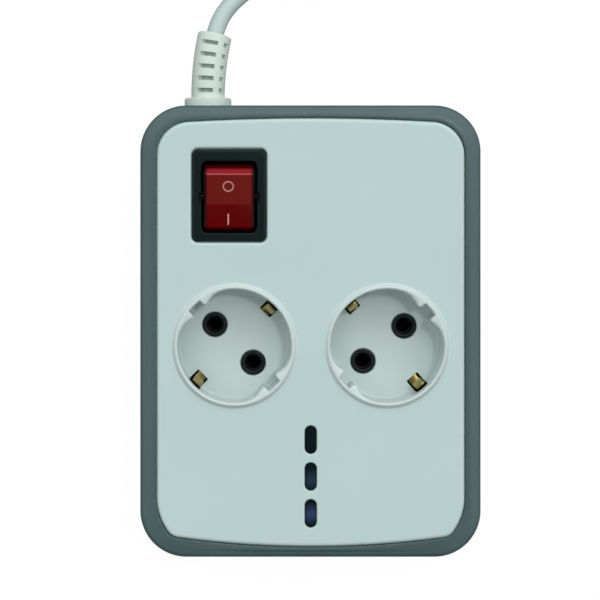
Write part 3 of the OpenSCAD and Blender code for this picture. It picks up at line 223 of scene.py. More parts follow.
def lathe(profile, steps=96, place=None):
    # profile is (radius, height) from one end of the axis to the other
    place = place or Matrix.Identity(4)
    rings = []
    for radius, z in profile:
        if radius <= 0:
            rings.append([bm.verts.new(place @ Vector((0, 0, z * mm)))])
        else:
            rings.append(addRing(at(circle(0, 0, radius, steps), z), place))
    for a, b in zip(rings, rings[1:]):
        for i in range(steps):
            n = (i + 1) % steps
            if len(a) == 1 and len(b) > 1:
                bm.faces.new((a[0], b[n], b[i]))
            elif len(b) == 1 and len(a) > 1:
                bm.faces.new((a[i], a[n], b[0]))
            elif len(a) > 1:
                bm.faces.new((a[i], a[n], b[n], b[i]))


def prism(points, low, high, place=None):
    stack([at(points, low), at(points, high)], place=place)


def applyAll(piece, angle=32):
    # bakes the modifiers into the mesh and clears the slivers that a cut can leave
    bpy.context.view_layer.update()
    graph = bpy.context.evaluated_depsgraph_get()
    mesh = bpy.data.meshes.new_from_object(piece.evaluated_get(graph))
    baked = bmesh.new()
    baked.from_mesh(mesh)
    bmesh.ops.remove_doubles(baked, verts=baked.verts, dist=0.001 * mm)
    bmesh.ops.dissolve_degenerate(baked, edges=baked.edges, dist=0.001 * mm)
    baked.to_mesh(mesh)
    baked.free()
    piece.modifiers.clear()
    old, piece.data = piece.data, mesh
    bpy.data.meshes.remove(old)
    smoothMesh(mesh, angle)
    return piece


def carve(piece, cutter, operation="DIFFERENCE", angle=32):
    step = piece.modifiers.new("carve", "BOOLEAN")
    step.operation, step.solver, step.object = operation, "EXACT", cutter
    applyAll(piece, angle)
    dropObject(cutter)


def softenEdges(piece, width):
    step = piece.modifiers.new("soften", "BEVEL")
    step.width, step.segments = width * mm, 2
    step.limit_method, step.angle_limit = "ANGLE", radians(40)
    return applyAll(piece)


def dress(piece, slot, *nodes, body="housing"):
    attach(piece, body)
    if nodes:
        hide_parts(*nodes)
    return piece


# nodes, for finishes, for the light and for what repeats

def addNode(tree, kind, links=(), **settings):
    node = tree.nodes.new(kind)
    for key, value in settings.items():
        setattr(node, key, value)
    for socket, source in links:
        target = node.inputs[socket]
        if isinstance(source, bpy.types.NodeSocket):
            tree.links.new(source, target)
        else:
            target.default_value = source
    return node


def reckon(tree, operation, *values):
    return addNode(tree, "ShaderNodeMath", enumerate(values), operation=operation).outputs[0]


def mapRange(tree, value, low, high, toLow=0.0, toHigh=1.0, kind="SMOOTHSTEP"):
    return addNode(tree, "ShaderNodeMapRange",
                   [("Value", value), ("From Min", low), ("From Max", high),
                    ("To Min", toLow), ("To Max", toHigh)], interpolation_type=kind).outputs[0]


def startTree(name, inputs):
    tree = bpy.data.node_groups.new(name, "GeometryNodeTree")
    tree.interface.new_socket(name="Geometry", in_out="INPUT", socket_type="NodeSocketGeometry")
    for label, kind in inputs.items():
        tree.interface.new_socket(name=label, in_out="INPUT", socket_type="NodeSocket" + kind)
    tree.interface.new_socket(name="Geometry", in_out="OUTPUT", socket_type="NodeSocketGeometry")
    return tree, tree.nodes.new("NodeGroupInput").outputs


def endTree(tree, source, inputs):
    # plain meshes with their finish, because the export drops instances
    real = addNode(tree, "GeometryNodeRealizeInstances", [(0, source)])
    finish = addNode(tree, "GeometryNodeSetMaterial",
                     [("Geometry", real.outputs[0]), ("Material", inputs["Finish"])])
    addNode(tree, "NodeGroupOutput", [(0, finish.outputs[0])])


def runTree(piece, tree, values):
    step = piece.modifiers.new("tree", "NODES")
    step.node_group = tree
    for item in tree.interface.items_tree:
        if item.in_out == "INPUT" and item.name in values:
            step[item.identifier] = values[item.name]
    return applyAll(piece)


# finishes

def tint(*screen):
    # screen colour to scene colour
    shares = [c / 255 for c in screen]
    return (*[c / 12.92 if c <= 0.04045 else ((c + 0.055) / 1.055) ** 2.4 for c in shares], 1)


def shaded(colour, factor):
    return tuple(min(1, c * factor) for c in colour[:3]) + (1,)


def plastic(name, screen, rough=0.35, grain=2600, depth=0.006, cloud=0.04, cloudSize=28,
            coat=0.0, metal=0.0, streak=(1, 1, 1), gloss=0.5):
    material = bpy.data.materials.new(name)
    material.use_nodes = True
    tree = material.node_tree
    shader = tree.nodes["Principled BSDF"]
    shader.inputs["Metallic"].default_value = metal
    shader.inputs["Specular IOR Level"].default_value = gloss
    shader.inputs["Coat Weight"].default_value = coat
    shader.inputs["Coat Roughness"].default_value = 0.08
    place = addNode(tree, "ShaderNodeTexCoord")
    stretch = addNode(tree, "ShaderNodeMapping",
                      [("Vector", place.outputs["Object"]), ("Scale", streak)])

    def noise(scale, detail):
        return addNode(tree, "ShaderNodeTexNoise",
                       [("Vector", stretch.outputs[0]), ("Scale", scale),
                        ("Detail", detail)]).outputs["Fac"]

    ramp = addNode(tree, "ShaderNodeValToRGB", [("Fac", noise(cloudSize, 5.0))])
    for stop, position, factor in zip(ramp.color_ramp.elements, (0.3, 0.7), (-cloud, cloud)):
        stop.position, stop.color = position, shaded(tint(*screen), 1 + factor)
    tree.links.new(ramp.outputs["Color"], shader.inputs["Base Color"])
    roughness = mapRange(tree, noise(cloudSize * 3, 3.0), 0.0, 1.0, rough * 0.85, rough * 1.15,
                         "LINEAR")
    tree.links.new(roughness, shader.inputs["Roughness"])
    bump = addNode(tree, "ShaderNodeBump", [("Height", noise(grain, 2.0)),
                                            ("Distance", depth * mm), ("Strength", 1.0)])
    tree.links.new(bump.outputs[0], shader.inputs["Normal"])
    return material


def overlay(tree, share, screen):
    # lays a colour over what the finish shows so far
    base = tree.nodes["Principled BSDF"].inputs["Base Color"]
    blend = addNode(tree, "ShaderNodeMix",
                    [(0, share), (6, base.links[0].from_socket), (7, tint(*screen))],
                    data_type="RGBA")
    tree.links.new(blend.outputs[2], base)


# screen colour, roughness and what else differs from a plain plastic
looks = {
    "frameGrey": ((70, 93, 95), 0.28, {"streak": (1, 0.25, 1), "cloud": 0.07, "cloudSize": 60}),
    "caseGrey": ((70, 85, 85), 0.45, {"depth": 0.012, "cloud": 0.05}),
    "panelPale": ((188, 210, 207), 0.22, {"depth": 0.004, "cloud": 0.014}),
    "wellPale": ((199, 214, 211), 0.3, {"depth": 0.004, "cloud": 0.015, "gloss": 0.4}),
    "carrierBlack": ((20, 32, 32), 0.3, {"cloud": 0.1, "gloss": 0.25}),
    "bezelBlack": ((19, 30, 31), 0.22, {"cloud": 0.08, "gloss": 0.25}),
    "markWhite": ((192, 134, 134), 0.5, {"cloud": 0.02, "gloss": 0.2}),
    "brass": ((176, 156, 94), 0.3, {"metal": 1.0, "cloud": 0.1, "streak": (1, 6, 1),
                                    "grain": 1500, "depth": 0.003}),
    # brass darkened as painted shade, for the busbars seen deep in the pin holes
    "brassPaintedShade": ((62, 60, 50), 0.5, {"metal": 0.3, "cloud": 0.1, "gloss": 0.2}),
    "steel": ((176, 178, 178), 0.32, {"metal": 1.0, "cloud": 0.06, "streak": (1, 1, 8),
                                      "grain": 1500, "depth": 0.003}),
    "nickel": ((206, 202, 192), 0.18, {"metal": 1.0, "cloud": 0.03, "depth": 0.001}),
    "rubberBlack": ((38, 38, 38), 0.75, {"depth": 0.02, "cloud": 0.08}),
    "ivory": ((226, 219, 198), 0.45, {}),
    "lampAmber": ((236, 142, 88), 0.12, {"coat": 0.5}),
    "white": ((222, 224, 220), 0.5, {}),
    "boardGreen": ((30, 96, 56), 0.4, {"cloud": 0.12, "cloudSize": 160}),
    "relayBlue": ((44, 88, 170), 0.35, {}),
    "filmYellow": ((222, 184, 66), 0.35, {}),
    "canBlack": ((40, 40, 46), 0.3, {}),
    "discBlue": ((58, 112, 176), 0.5, {"cloud": 0.1}),
    "fuseGlass": ((220, 230, 230), 0.08, {"coat": 0.6}),
    "chipBlack": ((32, 32, 32), 0.6, {"depth": 0.02}),
    "ledTint": ((66, 60, 150), 0.12, {"coat": 0.5}),
    "reliefWhite": ((205, 219, 211), 0.42, {"depth": 0.008}),
    "cordPale": ((180, 198, 194), 0.42, {"depth": 0.01, "cloud": 0.03}),
    "wireBrown": ((112, 72, 44), 0.4, {}),
    "wireBlue": ((40, 84, 168), 0.4, {}),
    "wireGreen": ((136, 186, 50), 0.4, {}),
    "tieBlack": ((36, 38, 38), 0.5, {}),
}
finishes = {name: plastic(name, screen, rough, **others)
            for name, (screen, rough, others) in looks.items()}
print("finishes mixed:", len(finishes))

# mains lead: sheath in the relief, free run, coil and tail, as one cord
lead = {
    "diameter": 6.2, "sides": 18,
    "declared": 1500.0,
    "exit": (-35.5, 81.6, 22.0),
    "innerEnd": 16.6,  # how far the sheath reaches back inside the housing
    "sleeve": 22.5, "bend": 14.4, "roll": 30.0,  # the relief's length, its bend and its turn
    "run": [(-33.1, 103.9, 20.6), (-32.1, 107.3, 20), (-30.7, 110.5, 19.2), (-28.8, 113.5, 18.2),
            (-26.4, 116.3, 17), (-22.5, 119.8, 15.3), (-18.1, 122.7, 13.6), (-13.3, 124.8, 12.2),
            (-8.2, 126.1, 11.2), (-3.2, 126.5, 10.8)],
    "tail": [(31.4, 135.8, 4.1), (37.5, 139.3, 4.8), (43.5, 142.8, 6.5), (50, 146.5, 9.1),
             (55.4, 150.4, 11.8), (59.9, 155.4, 14.4), (63.3, 161.2, 16.5), (65.3, 167.6, 18),
             (66, 174.2, 18.6)],
    "coilAt": (3, 172.5), "coilRadius": 46, "turns": 6 + 1 / 12, "pitch": 6.8,
    "lowZ": 4.1, "layerStep": 6.7,
    "ringsPerTurn": 48,
    "intoPlug": 4,
}
reliefSpace = (Matrix.Translation(Vector(lead["exit"]) * mm)
               @ turned(lead["roll"], "Y") @ turned(-90, "X"))
bendRadius = lead["sleeve"] / radians(lead["bend"])


def alongSleeve(distance):
    # point on the sleeve's axis, in the relief's own space, with its heading
    if distance <= 0:
        return Vector((0, 0, distance)), 0.0
    a = distance / bendRadius
    return Vector((bendRadius * (1 - cos(a)), 0, bendRadius * sin(a))), a


def loopRadius(t):
    return lead["coilRadius"] - lead["pitch"] * min(t, lead["turns"] - t)


def coilPoint(t):
    # the coil winds inwards on its upper layer and outwards on its lower one
    a = radians(360 * t - 90)
    fall = min(1, max(0, (t - lead["turns"] / 2) * 2 + 0.5))
    return Vector((lead["coilAt"][0] + loopRadius(t) * cos(a),
                   lead["coilAt"][1] + loopRadius(t) * sin(a),
                   lead["lowZ"] + lead["layerStep"] * (1 - fall)))


def refine(points, start, end, pieces=4):
    # a smooth line through every point, with its end directions given
    line = []
    for i in range(len(points) - 1):
        a, b = Vector(points[i]), Vector(points[i + 1])
        span = (b - a).length
        ta = Vector(start) if i == 0 else (b - Vector(points[i - 1])).normalized()
        tb = (Vector(end) if i == len(points) - 2
              else (Vector(points[i + 2]) - a).normalized())
        for step in range(pieces):
            t = step / pieces
            line.append(a * (2 * t ** 3 - 3 * t * t + 1) + ta * span * (t ** 3 - 2 * t * t + t)
                        + b * (3 * t * t - 2 * t ** 3) + tb * span * (t ** 3 - t * t))
    return line + [Vector(points[-1])]


def leadPoints():
    distances = [-lead["innerEnd"] * (1 - i / 4) for i in range(4)]
    distances += [lead["sleeve"] * i / 8 for i in range(8)]
    line = [reliefSpace @ (alongSleeve(d)[0] * mm) / mm for d in distances]
    bend = radians(lead["bend"])
    tipHeading = reliefSpace.to_3x3() @ Vector((sin(bend), 0, cos(bend)))
    line += refine(lead["run"], tipHeading, (1, 0, 0))[:-1]
    steps = round(lead["turns"] * lead["ringsPerTurn"])
    coil = [coilPoint(lead["turns"] * i / steps) for i in range(steps + 1)]
    outAngle = radians(360 * lead["turns"] - 90)
    outHeading = Vector((-sin(outAngle), cos(outAngle), 0))
    line += [coil[0] - Vector((lead["diameter"], 0, 0)) * f for f in (1, 0.66, 0.33)]
    line += coil + [coil[-1] + outHeading * lead["diameter"] * f for f in (0.33, 0.66)]
    line += refine(lead["tail"], outHeading, (0, 1, 0))
    return line + [line[-1] + Vector((0, lead["intoPlug"], 0))]


def sweep(line, radius, sides, side=Vector((0, 0, 1))):
    rings = []
    for i, p in enumerate(line):
        heading = (line[min(i + 1, len(line) - 1)] - line[max(i - 1, 0)]).normalized()
        side = (side - heading * side.dot(heading)).normalized()
        up = heading.cross(side)
        rings.append([tuple(p + radius * (side * cos(a) + up * sin(a)))
                      for a in (2 * pi * j / sides for j in range(sides))])
    stack(rings)


leadLine = leadPoints()
sweep(leadLine, lead["diameter"] / 2, lead["sides"])
mainsLead = fromBmesh("mains_lead", "cordPale", angle=60)

# strain relief: a bent sleeve with a domed flange, cut by rows of slots
relief = {
    "flangeRadius": 8.25, "flangeDepth": 3.5, "flangeRound": 0.8, "neckRadius": 6.3,
    "sleeveRadius": 5.9, "tipRadius": 6.05, "tipRound": 0.5,
    "bore": 3.25, "innerEnd": 7.9, "innerFlange": 5.9,
    "slotRows": 5, "slotFirst": 2.5, "slotPitch": 4.1, "slotHeight": 1.5, "slotCore": 3.2,
    "slotSpans": [(-12, 60), (53, 25), (168, 60), (233, 25)],  # middle and width, degrees from up
    "upward": 240,  # where up lies round the sleeve
}


def reliefProfile():
    # closed run of (distance, radius): up the outside and back along the bore
    flange, neck, sleeve = relief["flangeRadius"], relief["neckRadius"], relief["sleeveRadius"]
    end, lip, depth = -relief["innerEnd"], -relief["innerFlange"], -relief["flangeDepth"]
    tip, tipRound, length = relief["tipRadius"], relief["tipRound"], lead["sleeve"]
    profile = [(end, flange - 0.3), (end + 0.3, flange), (lip - 0.02, flange), (lip, neck),
               (depth, neck), (depth, flange - 0.2), (depth + 0.2, flange)]
    profile += [(rise - relief["flangeRound"], flange - run)
                for run, rise in quarter(relief["flangeRound"], 5)]
    profile += [(0.0, sleeve + 0.5), (0.1, sleeve + 0.15), (0.5, sleeve)]
    profile += [(0.5 + (length - 0.5 - tipRound) * i / 24, sleeve + (tip - sleeve) * i / 24)
                for i in range(1, 25)]
    profile += [(length - tipRound + rise, tip - run) for run, rise in quarter(tipRound, 4)[1:]]
    profile += [(length, relief["bore"] + 0.3), (length - 0.3, relief["bore"])]
    profile += [(length * (1 - i / 8), relief["bore"]) for i in range(1, 9)]
    return profile + [(end, relief["bore"])]


def reliefRing(distance, radius):
    centre, a = alongSleeve(distance)
    return [(centre.x + x * cos(a), y, centre.z - x * sin(a))
            for x, y in circle(0, 0, radius)]


stack([reliefRing(*step) for step in reliefProfile()], closed=True, place=reliefSpace)
strainRelief = fromBmesh("strain_relief_sleeve", "reliefWhite")

# rows of slots: one tree sets the cutter along the bent sleeve
slotTree, given = startTree("slotRows", {"Rows": "Int", "First": "Float", "Pitch": "Float",
                                         "Bend radius": "Float", "Finish": "Material"})
count = addNode(slotTree, "GeometryNodePoints", [("Count", given["Rows"])])
index = addNode(slotTree, "GeometryNodeInputIndex")
travel = reckon(slotTree, "MULTIPLY_ADD", index.outputs[0], given["Pitch"], given["First"])
turn = reckon(slotTree, "DIVIDE", travel, given["Bend radius"])
shortfall = reckon(slotTree, "SUBTRACT", 1.0, reckon(slotTree, "COSINE", turn))
sideways = reckon(slotTree, "MULTIPLY", shortfall, given["Bend radius"])
forward = reckon(slotTree, "MULTIPLY", reckon(slotTree, "SINE", turn), given["Bend radius"])
spot = addNode(slotTree, "ShaderNodeCombineXYZ", [("X", sideways), ("Z", forward)])
lean = addNode(slotTree, "ShaderNodeCombineXYZ", [("Y", turn)])
spread = addNode(slotTree, "GeometryNodeSetPosition",
                 [("Geometry", count.outputs[0]), ("Position", spot.outputs[0])])
rows = addNode(slotTree, "GeometryNodeInstanceOnPoints",
               [("Points", spread.outputs[0]), ("Instance", given["Geometry"]),
                ("Rotation", lean.outputs[0])])
endTree(slotTree, rows.outputs[0], given)

for centre, width in relief["slotSpans"]:
    start, end = (centre + relief["upward"] + width * f for f in (-0.5, 0.5))
    sector = (arc(0, 0, relief["slotCore"], start, end, 10)
              + arc(0, 0, relief["sleeveRadius"] + 2, end, start, 10))
    prism(sector, -relief["slotHeight"] / 2, relief["slotHeight"] / 2)
slotCutter = fromBmesh("slot_cutter", "reliefWhite")
runTree(slotCutter, slotTree, {
    "Rows": relief["slotRows"], "First": relief["slotFirst"] * mm,
    "Pitch": relief["slotPitch"] * mm, "Bend radius": bendRadius * mm,
    "Finish": finishes["reliefWhite"]})
slotCutter.data.transform(reliefSpace)
carve(strainRelief, slotCutter)
print("lead and strain relief made")

# ties round the coil
ties = {"angles": (60, 150), "width": 7.0, "thick": 0.8, "slack": 0.3, "round": 1.6, "edge": 0.2}


def makeTie(number, angle):
    first = (angle + 90) / 360
    radii = [loopRadius(first + i) for i in range(int(lead["turns"] - first) + 1)]
    reach = lead["diameter"] / 2 + ties["slack"]
    inner, outer = min(radii) - reach, max(radii) + reach
    low = lead["lowZ"] - lead["diameter"] / 2 - 0.1
    high = lead["lowZ"] + lead["layerStep"] + lead["diameter"] / 2 + 0.1
    middle = (Matrix.Translation(Vector((*lead["coilAt"], 0)) * mm) @ turned(angle, "Z")
              @ Matrix.Translation(Vector(((inner + outer) / 2, 0, (low + high) / 2)) * mm)
              @ turned(90, "X"))
    thick, half, edge = ties["thick"], ties["width"] / 2, ties["edge"]
    levels = [(thick - edge, -half), (thick, edge - half), (thick, half - edge),
              (thick - edge, half), (edge, half), (0, half - edge), (0, edge - half),
              (edge, -half)]
    stack(boxRings((outer - inner, high - low, ties["round"]), levels), closed=True,
          place=middle)
    tie = fromBmesh("coil_tie_%d" % number, "tieBlack")
    return dress(tie, "tie_black", *(["cord_ties"] if number == 1 else []))


coilTies = [makeTie(i + 1, angle) for i, angle in enumerate(ties["angles"])]

# plug
plug = {
    "sleeve": 20, "grip": 20, "body": 18,
    "cordEnd": 4.2, "sleeveEnd": 5.4, "neck": 8.5, "waist": 14.5, "radius": 18.5,
    "faceRound": 1.0,
    "rings": 5, "ringStart": 3.0, "ringPitch": 3.2, "ringDepth": 0.7,
    "ribs": 5, "ribDepth": 0.7,
    "grooveWidth": 5.2, "grooveDepth": 3.4,
    "earthWidth": 4.0, "earthDepth": 2.2, "earthLength": 12.0, "earthThick": 1.0,
    "pinRadius": 2.4, "pinLength": 19.0, "pinPitch": 19.0, "pinCollar": 8.8,
}
plugSpace = Matrix.Translation(Vector(lead["tail"][-1]) * mm) @ turned(-90, "X")
shoulder = plug["sleeve"] + plug["grip"]
face = shoulder + plug["body"]


def plugProfile():
    # (radius, height) from the lead's end to the face
    sleeve, radius, faceRound = plug["sleeve"], plug["radius"], plug["faceRound"]
    cordEnd, sleeveEnd, neck, waist = (plug[key] for key in
                                       ("cordEnd", "sleeveEnd", "neck", "waist"))
    profile = [(0, 0), (cordEnd - 0.4, 0), (cordEnd, 0.4)]
    for i in range(plug["rings"]):  # ring grooves of the plug's own strain relief
        z = plug["ringStart"] + i * plug["ringPitch"]
        out = cordEnd + (sleeveEnd - cordEnd) * z / sleeve
        dip = out - plug["ringDepth"]
        profile += [(out, z - 0.3), (dip, z), (dip, z + 1.0), (out, z + 1.3)]
    profile += [(sleeveEnd, sleeve - 0.6), (sleeveEnd + 0.6, sleeve - 0.1), (neck, sleeve + 2.1)]
    for i in range(25):  # ribbed grip
        share = i / 24
        dip = plug["ribDepth"] * (0.5 - 0.5 * cos(2 * pi * plug["ribs"] * share))
        profile.append((neck + (waist - neck) * share - dip + 0.1,
                        sleeve + 2.4 + share * (plug["grip"] - 6.8)))
    profile += [(waist + 0.4, shoulder - 4.2), (radius - 0.5, shoulder - 0.3),
                (radius, shoulder + 0.4), (radius, shoulder + 0.9),
                (radius, face - faceRound - 0.4)]
    profile += [(radius - run, face - faceRound + rise) for run, rise in quarter(faceRound, 5)]
    return profile + [(radius - faceRound - 0.4, face), (0, face)]


lathe(plugProfile(), 112, plugSpace)
plugBody = fromBmesh("plug_moulding", "cordPale", angle=45)
for angle, deep, wide, corner, low in (
        (0, plug["grooveDepth"], plug["grooveWidth"], 0.8, shoulder + 1),
        (90, plug["earthDepth"], plug["earthWidth"] + 0.4, 0.3, face - plug["earthLength"])):
    for half in (0, 180):
        prism(roundRect(deep + 2, wide, corner, cx=plug["radius"] - deep / 2 + 1),
              low, face + 1, plugSpace @ turned(angle + half, "Z"))
carve(plugBody, fromBmesh("plug_cutter", "cordPale"), angle=45)
dress(plugBody, "cord_grey", "plug_body")

pin, pinEnd = plug["pinRadius"], face + plug["pinLength"]
for side in (-0.5, 0.5):
    lathe([(0, face - 8), (pin, face - 8), (pin, face + 0.2), (pin - 0.1, face + 0.3),
           (pin - 0.1, face + plug["pinCollar"]), (pin, face + plug["pinCollar"] + 0.1)]
          + [(pin - run, pinEnd - pin + rise) for run, rise in quarter(pin, 8)[:-1]]
          + [(0, pinEnd)], 48, plugSpace @ shift((side * plug["pinPitch"], 0, 0)))
plugPins = dress(fromBmesh("plug_contact_pins", "nickel"), "pin_nickel", "plug_pins")
for angle in (90, 270):
    prism(roundRect(plug["earthThick"], plug["earthWidth"], 0.3,
                    cx=plug["radius"] - plug["earthDepth"] + plug["earthThick"] / 2),
          face - plug["earthLength"], face - 0.1, plugSpace @ turned(angle, "Z"))
plugEarth = dress(softenEdges(fromBmesh("plug_earth_strips", "nickel"), 0.15),
                  "pin_nickel", "plug_earth_contacts")

dress(strainRelief, "relief_white", "strain_relief")
dress(mainsLead, "cord_grey", "sheath_end", "cord_run", "cord_coil", "cord_tail")
print("plug made")

# housing and panel outlines
housing = {
    "width": 117.6, "height": 156, "corner": 16,
    "back": 1.5, "floor": 3.7, "parting": 22.0, "seam": 0.05, "top": 42.5,
    "wall": 2.2, "backRound": 3.0, "frontRound": 2.0, "lip": 1.6, "lipRound": 0.4,
    "crown": 0.6, "partingBevel": 0.3,
    "screws": [(-45.5, 62.5), (45.5, 62.5), (-45.5, -60), (45.5, -60), (0, 24), (0, -25)],
    "feet": [(-46, -46), (46, -46), (46, 46), (-46, 46)],
    "screwWell": 3.4, "screwSeat": 14.0, "screwHole": 1.7, "post": 4.0, "postTop": 23.9,
    "footRecess": 6.1, "footDepth": 1.1,
    "keyholes": (45, -45), "keyHead": 4.3, "keyNeck": 2.2, "keyRun": 8.0,
    "label": (56, 30, 2), "labelDepth": 0.3,
    "leadHole": 6.4, "leadHoleDepth": 8.2,
}
panel = {
    "halfWidth": 53, "topY": 73.4, "bottomY": 74.05, "topR": 750, "bottomR": 340,
    "cornerR": 11.5, "sideR": 20, "heelR": 5, "heelAngle": 36,
    "top": 43.0, "skin": 40.6, "flange": 1.4, "flangeLow": 38.9, "flangeTop": 40.7,
    "edgeRound": 1.2, "gap": 0.3,
}


def caseOutline(inset, steps=20):
    return roundRect(housing["width"] - 2 * inset, housing["height"] - 2 * inset,
                     housing["corner"] - inset, steps)


def panelOutline(grow, scale=1):
    # bowed ends, big side arcs and small heels, joined where the arcs touch
    bottomY = panel["bottomR"] - panel["bottomY"]
    topY = panel["topY"] - panel["topR"]
    sideX = panel["halfWidth"] - panel["sideR"]
    heelReach, heelTurn = panel["sideR"] - panel["heelR"], radians(panel["heelAngle"])
    heelX = sideX + heelReach * cos(heelTurn)
    heelY = bottomY - sqrt((panel["bottomR"] - panel["heelR"]) ** 2 - heelX ** 2)
    sideY = heelY + heelReach * sin(heelTurn)
    cornerX = panel["halfWidth"] - panel["cornerR"]
    cornerY = topY + sqrt((panel["topR"] - panel["cornerR"]) ** 2 - cornerX ** 2)
    low = degrees(atan2(heelY - bottomY, heelX))
    high = degrees(atan2(cornerY - topY, cornerX))
    half = []
    for cx, cy, bow, start, end, steps in (
            (0, bottomY, "bottomR", -90, low, 12),
            (heelX, heelY, "heelR", low, -panel["heelAngle"], 12),
            (sideX, sideY, "sideR", -panel["heelAngle"], 0, 12),
            (cornerX, cornerY, "cornerR", 0, high, 16), (0, topY, "topR", high, 90, 12)):
        half += arc(cx, cy, panel[bow] + grow, start, end, steps * scale)
    clean = [half[0]]
    for p in half[1:]:
        if (Vector(p) - Vector(clean[-1])).length > 0.01:
            clean.append(p)
    return clean + [(-x, y) for x, y in clean[-2:0:-1]]


def seenFrom(outline, angles):
    # where rays from the middle meet a closed outline, one point for each angle
    ordered = sorted((atan2(y, x) % (2 * pi), x, y) for x, y in outline)
    keys = [o[0] for o in ordered]
    points = []
    for a in angles:
        i = bisect_right(keys, a)
        start, end = Vector(ordered[i - 1][1:]), Vector(ordered[i % len(ordered)][1:])
        ray, edge = Vector((cos(a), sin(a))), end - start
        cross = ray.x * edge.y - ray.y * edge.x
        points.append(tuple(ray * ((start.x * edge.y - start.y * edge.x) / cross))
                      if cross else tuple(start))
    return points


sidePoints = [(side * housing["width"] / 2, i * 6.0) for side in (1, -1) for i in range(-8, 9)]
rayAngles = sorted(set(round(atan2(y, x) % (2 * pi), 5)
                       for x, y in caseOutline(0) + panelOutline(panel["gap"]) + sidePoints))
rayAngles = [a for a, b in zip(rayAngles, rayAngles[1:] + [7]) if b - a > 0.0004]


def caseRay(inset, z):
    return at(seenFrom(caseOutline(inset, 40), rayAngles), z)


def panelRay(grow, z):
    return at(seenFrom(panelOutline(grow, 2), rayAngles), z)


def frameRings():
    # front frame: one closed run of rings round the opening
    gap, ease, top = panel["gap"], housing["lipRound"], housing["top"]
    wall, bevel, frontRound = housing["wall"], housing["partingBevel"], housing["frontRound"]
    low = housing["parting"] + housing["seam"]
    edge = top - housing["crown"]  # the face rises from here towards the panel
    rings = [caseRay(inset, z) for inset, z in (
        (wall, low), (bevel, low), (0, low + bevel), (0, housing["parting"] + 1),
        (0, edge - frontRound - 0.5))]
    rings += [caseRay(run, edge - frontRound + rise) for run, rise in quarter(frontRound, 10)[:-1]]
    for step in range(7):
        share = 0.04 + 0.96 * step / 6
        z = top - housing["crown"] * (1 - share) ** 2
        rings.append([tuple(Vector(a) * (1 - share) + Vector(b) * share) for a, b in
                      zip(caseRay(frontRound, z), panelRay(gap + ease + 0.4, z))])
    rings.append(panelRay(gap + ease, top))
    rings += [panelRay(gap + ease - rise, top - run) for run, rise in quarter(ease, 5)[1:]]
    return rings + [panelRay(gap, top - housing["lip"]), caseRay(wall, top - housing["lip"])]


stack(frameRings(), closed=True)
frontFrame = fromBmesh("front_frame_shell", "frameGrey")


# rear case with screw wells, foot seats, keyholes and a bare label field

def caseLevels():
    back, backRound, wall = housing["back"], housing["backRound"], housing["wall"]
    high, bevel = housing["parting"] - housing["seam"], housing["partingBevel"]
    levels = [(backRound + 0.5, back)]
    levels += [(backRound - rise, back + run) for run, rise in quarter(backRound, 10)]
    return levels + [(0, back + backRound + 0.5), (0, housing["parting"] - 1), (0, high - bevel),
                     (bevel, high), (wall, high), (wall, housing["floor"])]


def keyhole(y, grow):
    head, neck = housing["keyHead"] + grow, housing["keyNeck"] + grow
    gap = degrees(asin(neck / head))
    body = arc(0, y, head, 90 + gap, 450 - gap, 40)
    return body + arc(0, y + housing["keyRun"], neck, 0, 180, 16)


back = housing["back"]
sunk, seat, hole = housing["screwWell"], housing["screwSeat"], housing["screwHole"]
screwLevels = [(sunk + 0.5, back), (sunk + 0.3, back), (sunk, back + 0.3), (sunk, seat),
               (hole, seat), (hole, housing["postTop"]), (housing["post"], housing["postTop"]),
               (housing["post"], housing["floor"])]
recess = housing["footRecess"]
footLevels = [(recess + 0.3, back), (recess, back + 0.2), (recess, back + housing["footDepth"])]
holes = [discRings(centre, screwLevels, 48) for centre in housing["screws"]]
holes += [[at(keyhole(y, grow), z) for grow, z in (
    (0.5, back), (0.3, back), (0, back + 0.3), (0, housing["floor"]))]
    for y in housing["keyholes"]]
blinds = [discRings(centre, footLevels, 56) for centre in housing["feet"]]
blinds.append(boxRings(housing["label"], [(0.2, back), (0, back + housing["labelDepth"])]))
plate([at(caseOutline(inset), z) for inset, z in caseLevels()], holes, blinds)
rearCase = fromBmesh("rear_case_shell", "caseGrey")

# the lead's hole through both halves of the housing
for shell in (frontFrame, rearCase):
    lathe([(0, -housing["leadHoleDepth"]), (housing["leadHole"], -housing["leadHoleDepth"]),
           (housing["leadHole"], 1), (0, 1)], 48, reliefSpace)
    carve(shell, fromBmesh("lead_hole", "caseGrey"))
dress(frontFrame, "frame_grey", "front_frame")
dress(rearCase, "case_grey", "rear_case")
print("housing made")

# screws and feet: one tree sets a shaped piece on every point
screw = {"headRadius": 3.0, "headDepth": 2.2, "radius": 1.3, "length": 20, "cross": 0.8,
         "turnStep": 37}
foot = {"radius": 6.0, "height": 2.5, "edge": 0.8, "groove": 3.6}
setTree, given = startTree("setOnPoints", {"Piece": "Object", "Turn step": "Float",
                                           "Finish": "Material"})
source = addNode(setTree, "GeometryNodeObjectInfo", [("Object", given["Piece"])])
index = addNode(setTree, "GeometryNodeInputIndex")
turn = reckon(setTree, "MULTIPLY", index.outputs[0], given["Turn step"])
spin = addNode(setTree, "ShaderNodeCombineXYZ", [("Z", turn)])
copies = addNode(setTree, "GeometryNodeInstanceOnPoints",
                 [("Points", given["Geometry"]), ("Instance", source.outputs["Geometry"]),
                  ("Rotation", spin.outputs[0])])
endTree(setTree, copies.outputs[0], given)


def setOnPoints(name, points, model, turnStep=0.0):
    mesh = bpy.data.meshes.new(name)
    mesh.from_pydata([tuple(c * mm for c in p) for p in points], [], [])
    material = model.data.materials[0]
    made = newObject(name, mesh, material)
    runTree(made, setTree, {"Piece": model, "Turn step": radians(turnStep),
                            "Finish": material})
    dropObject(model)
    return made


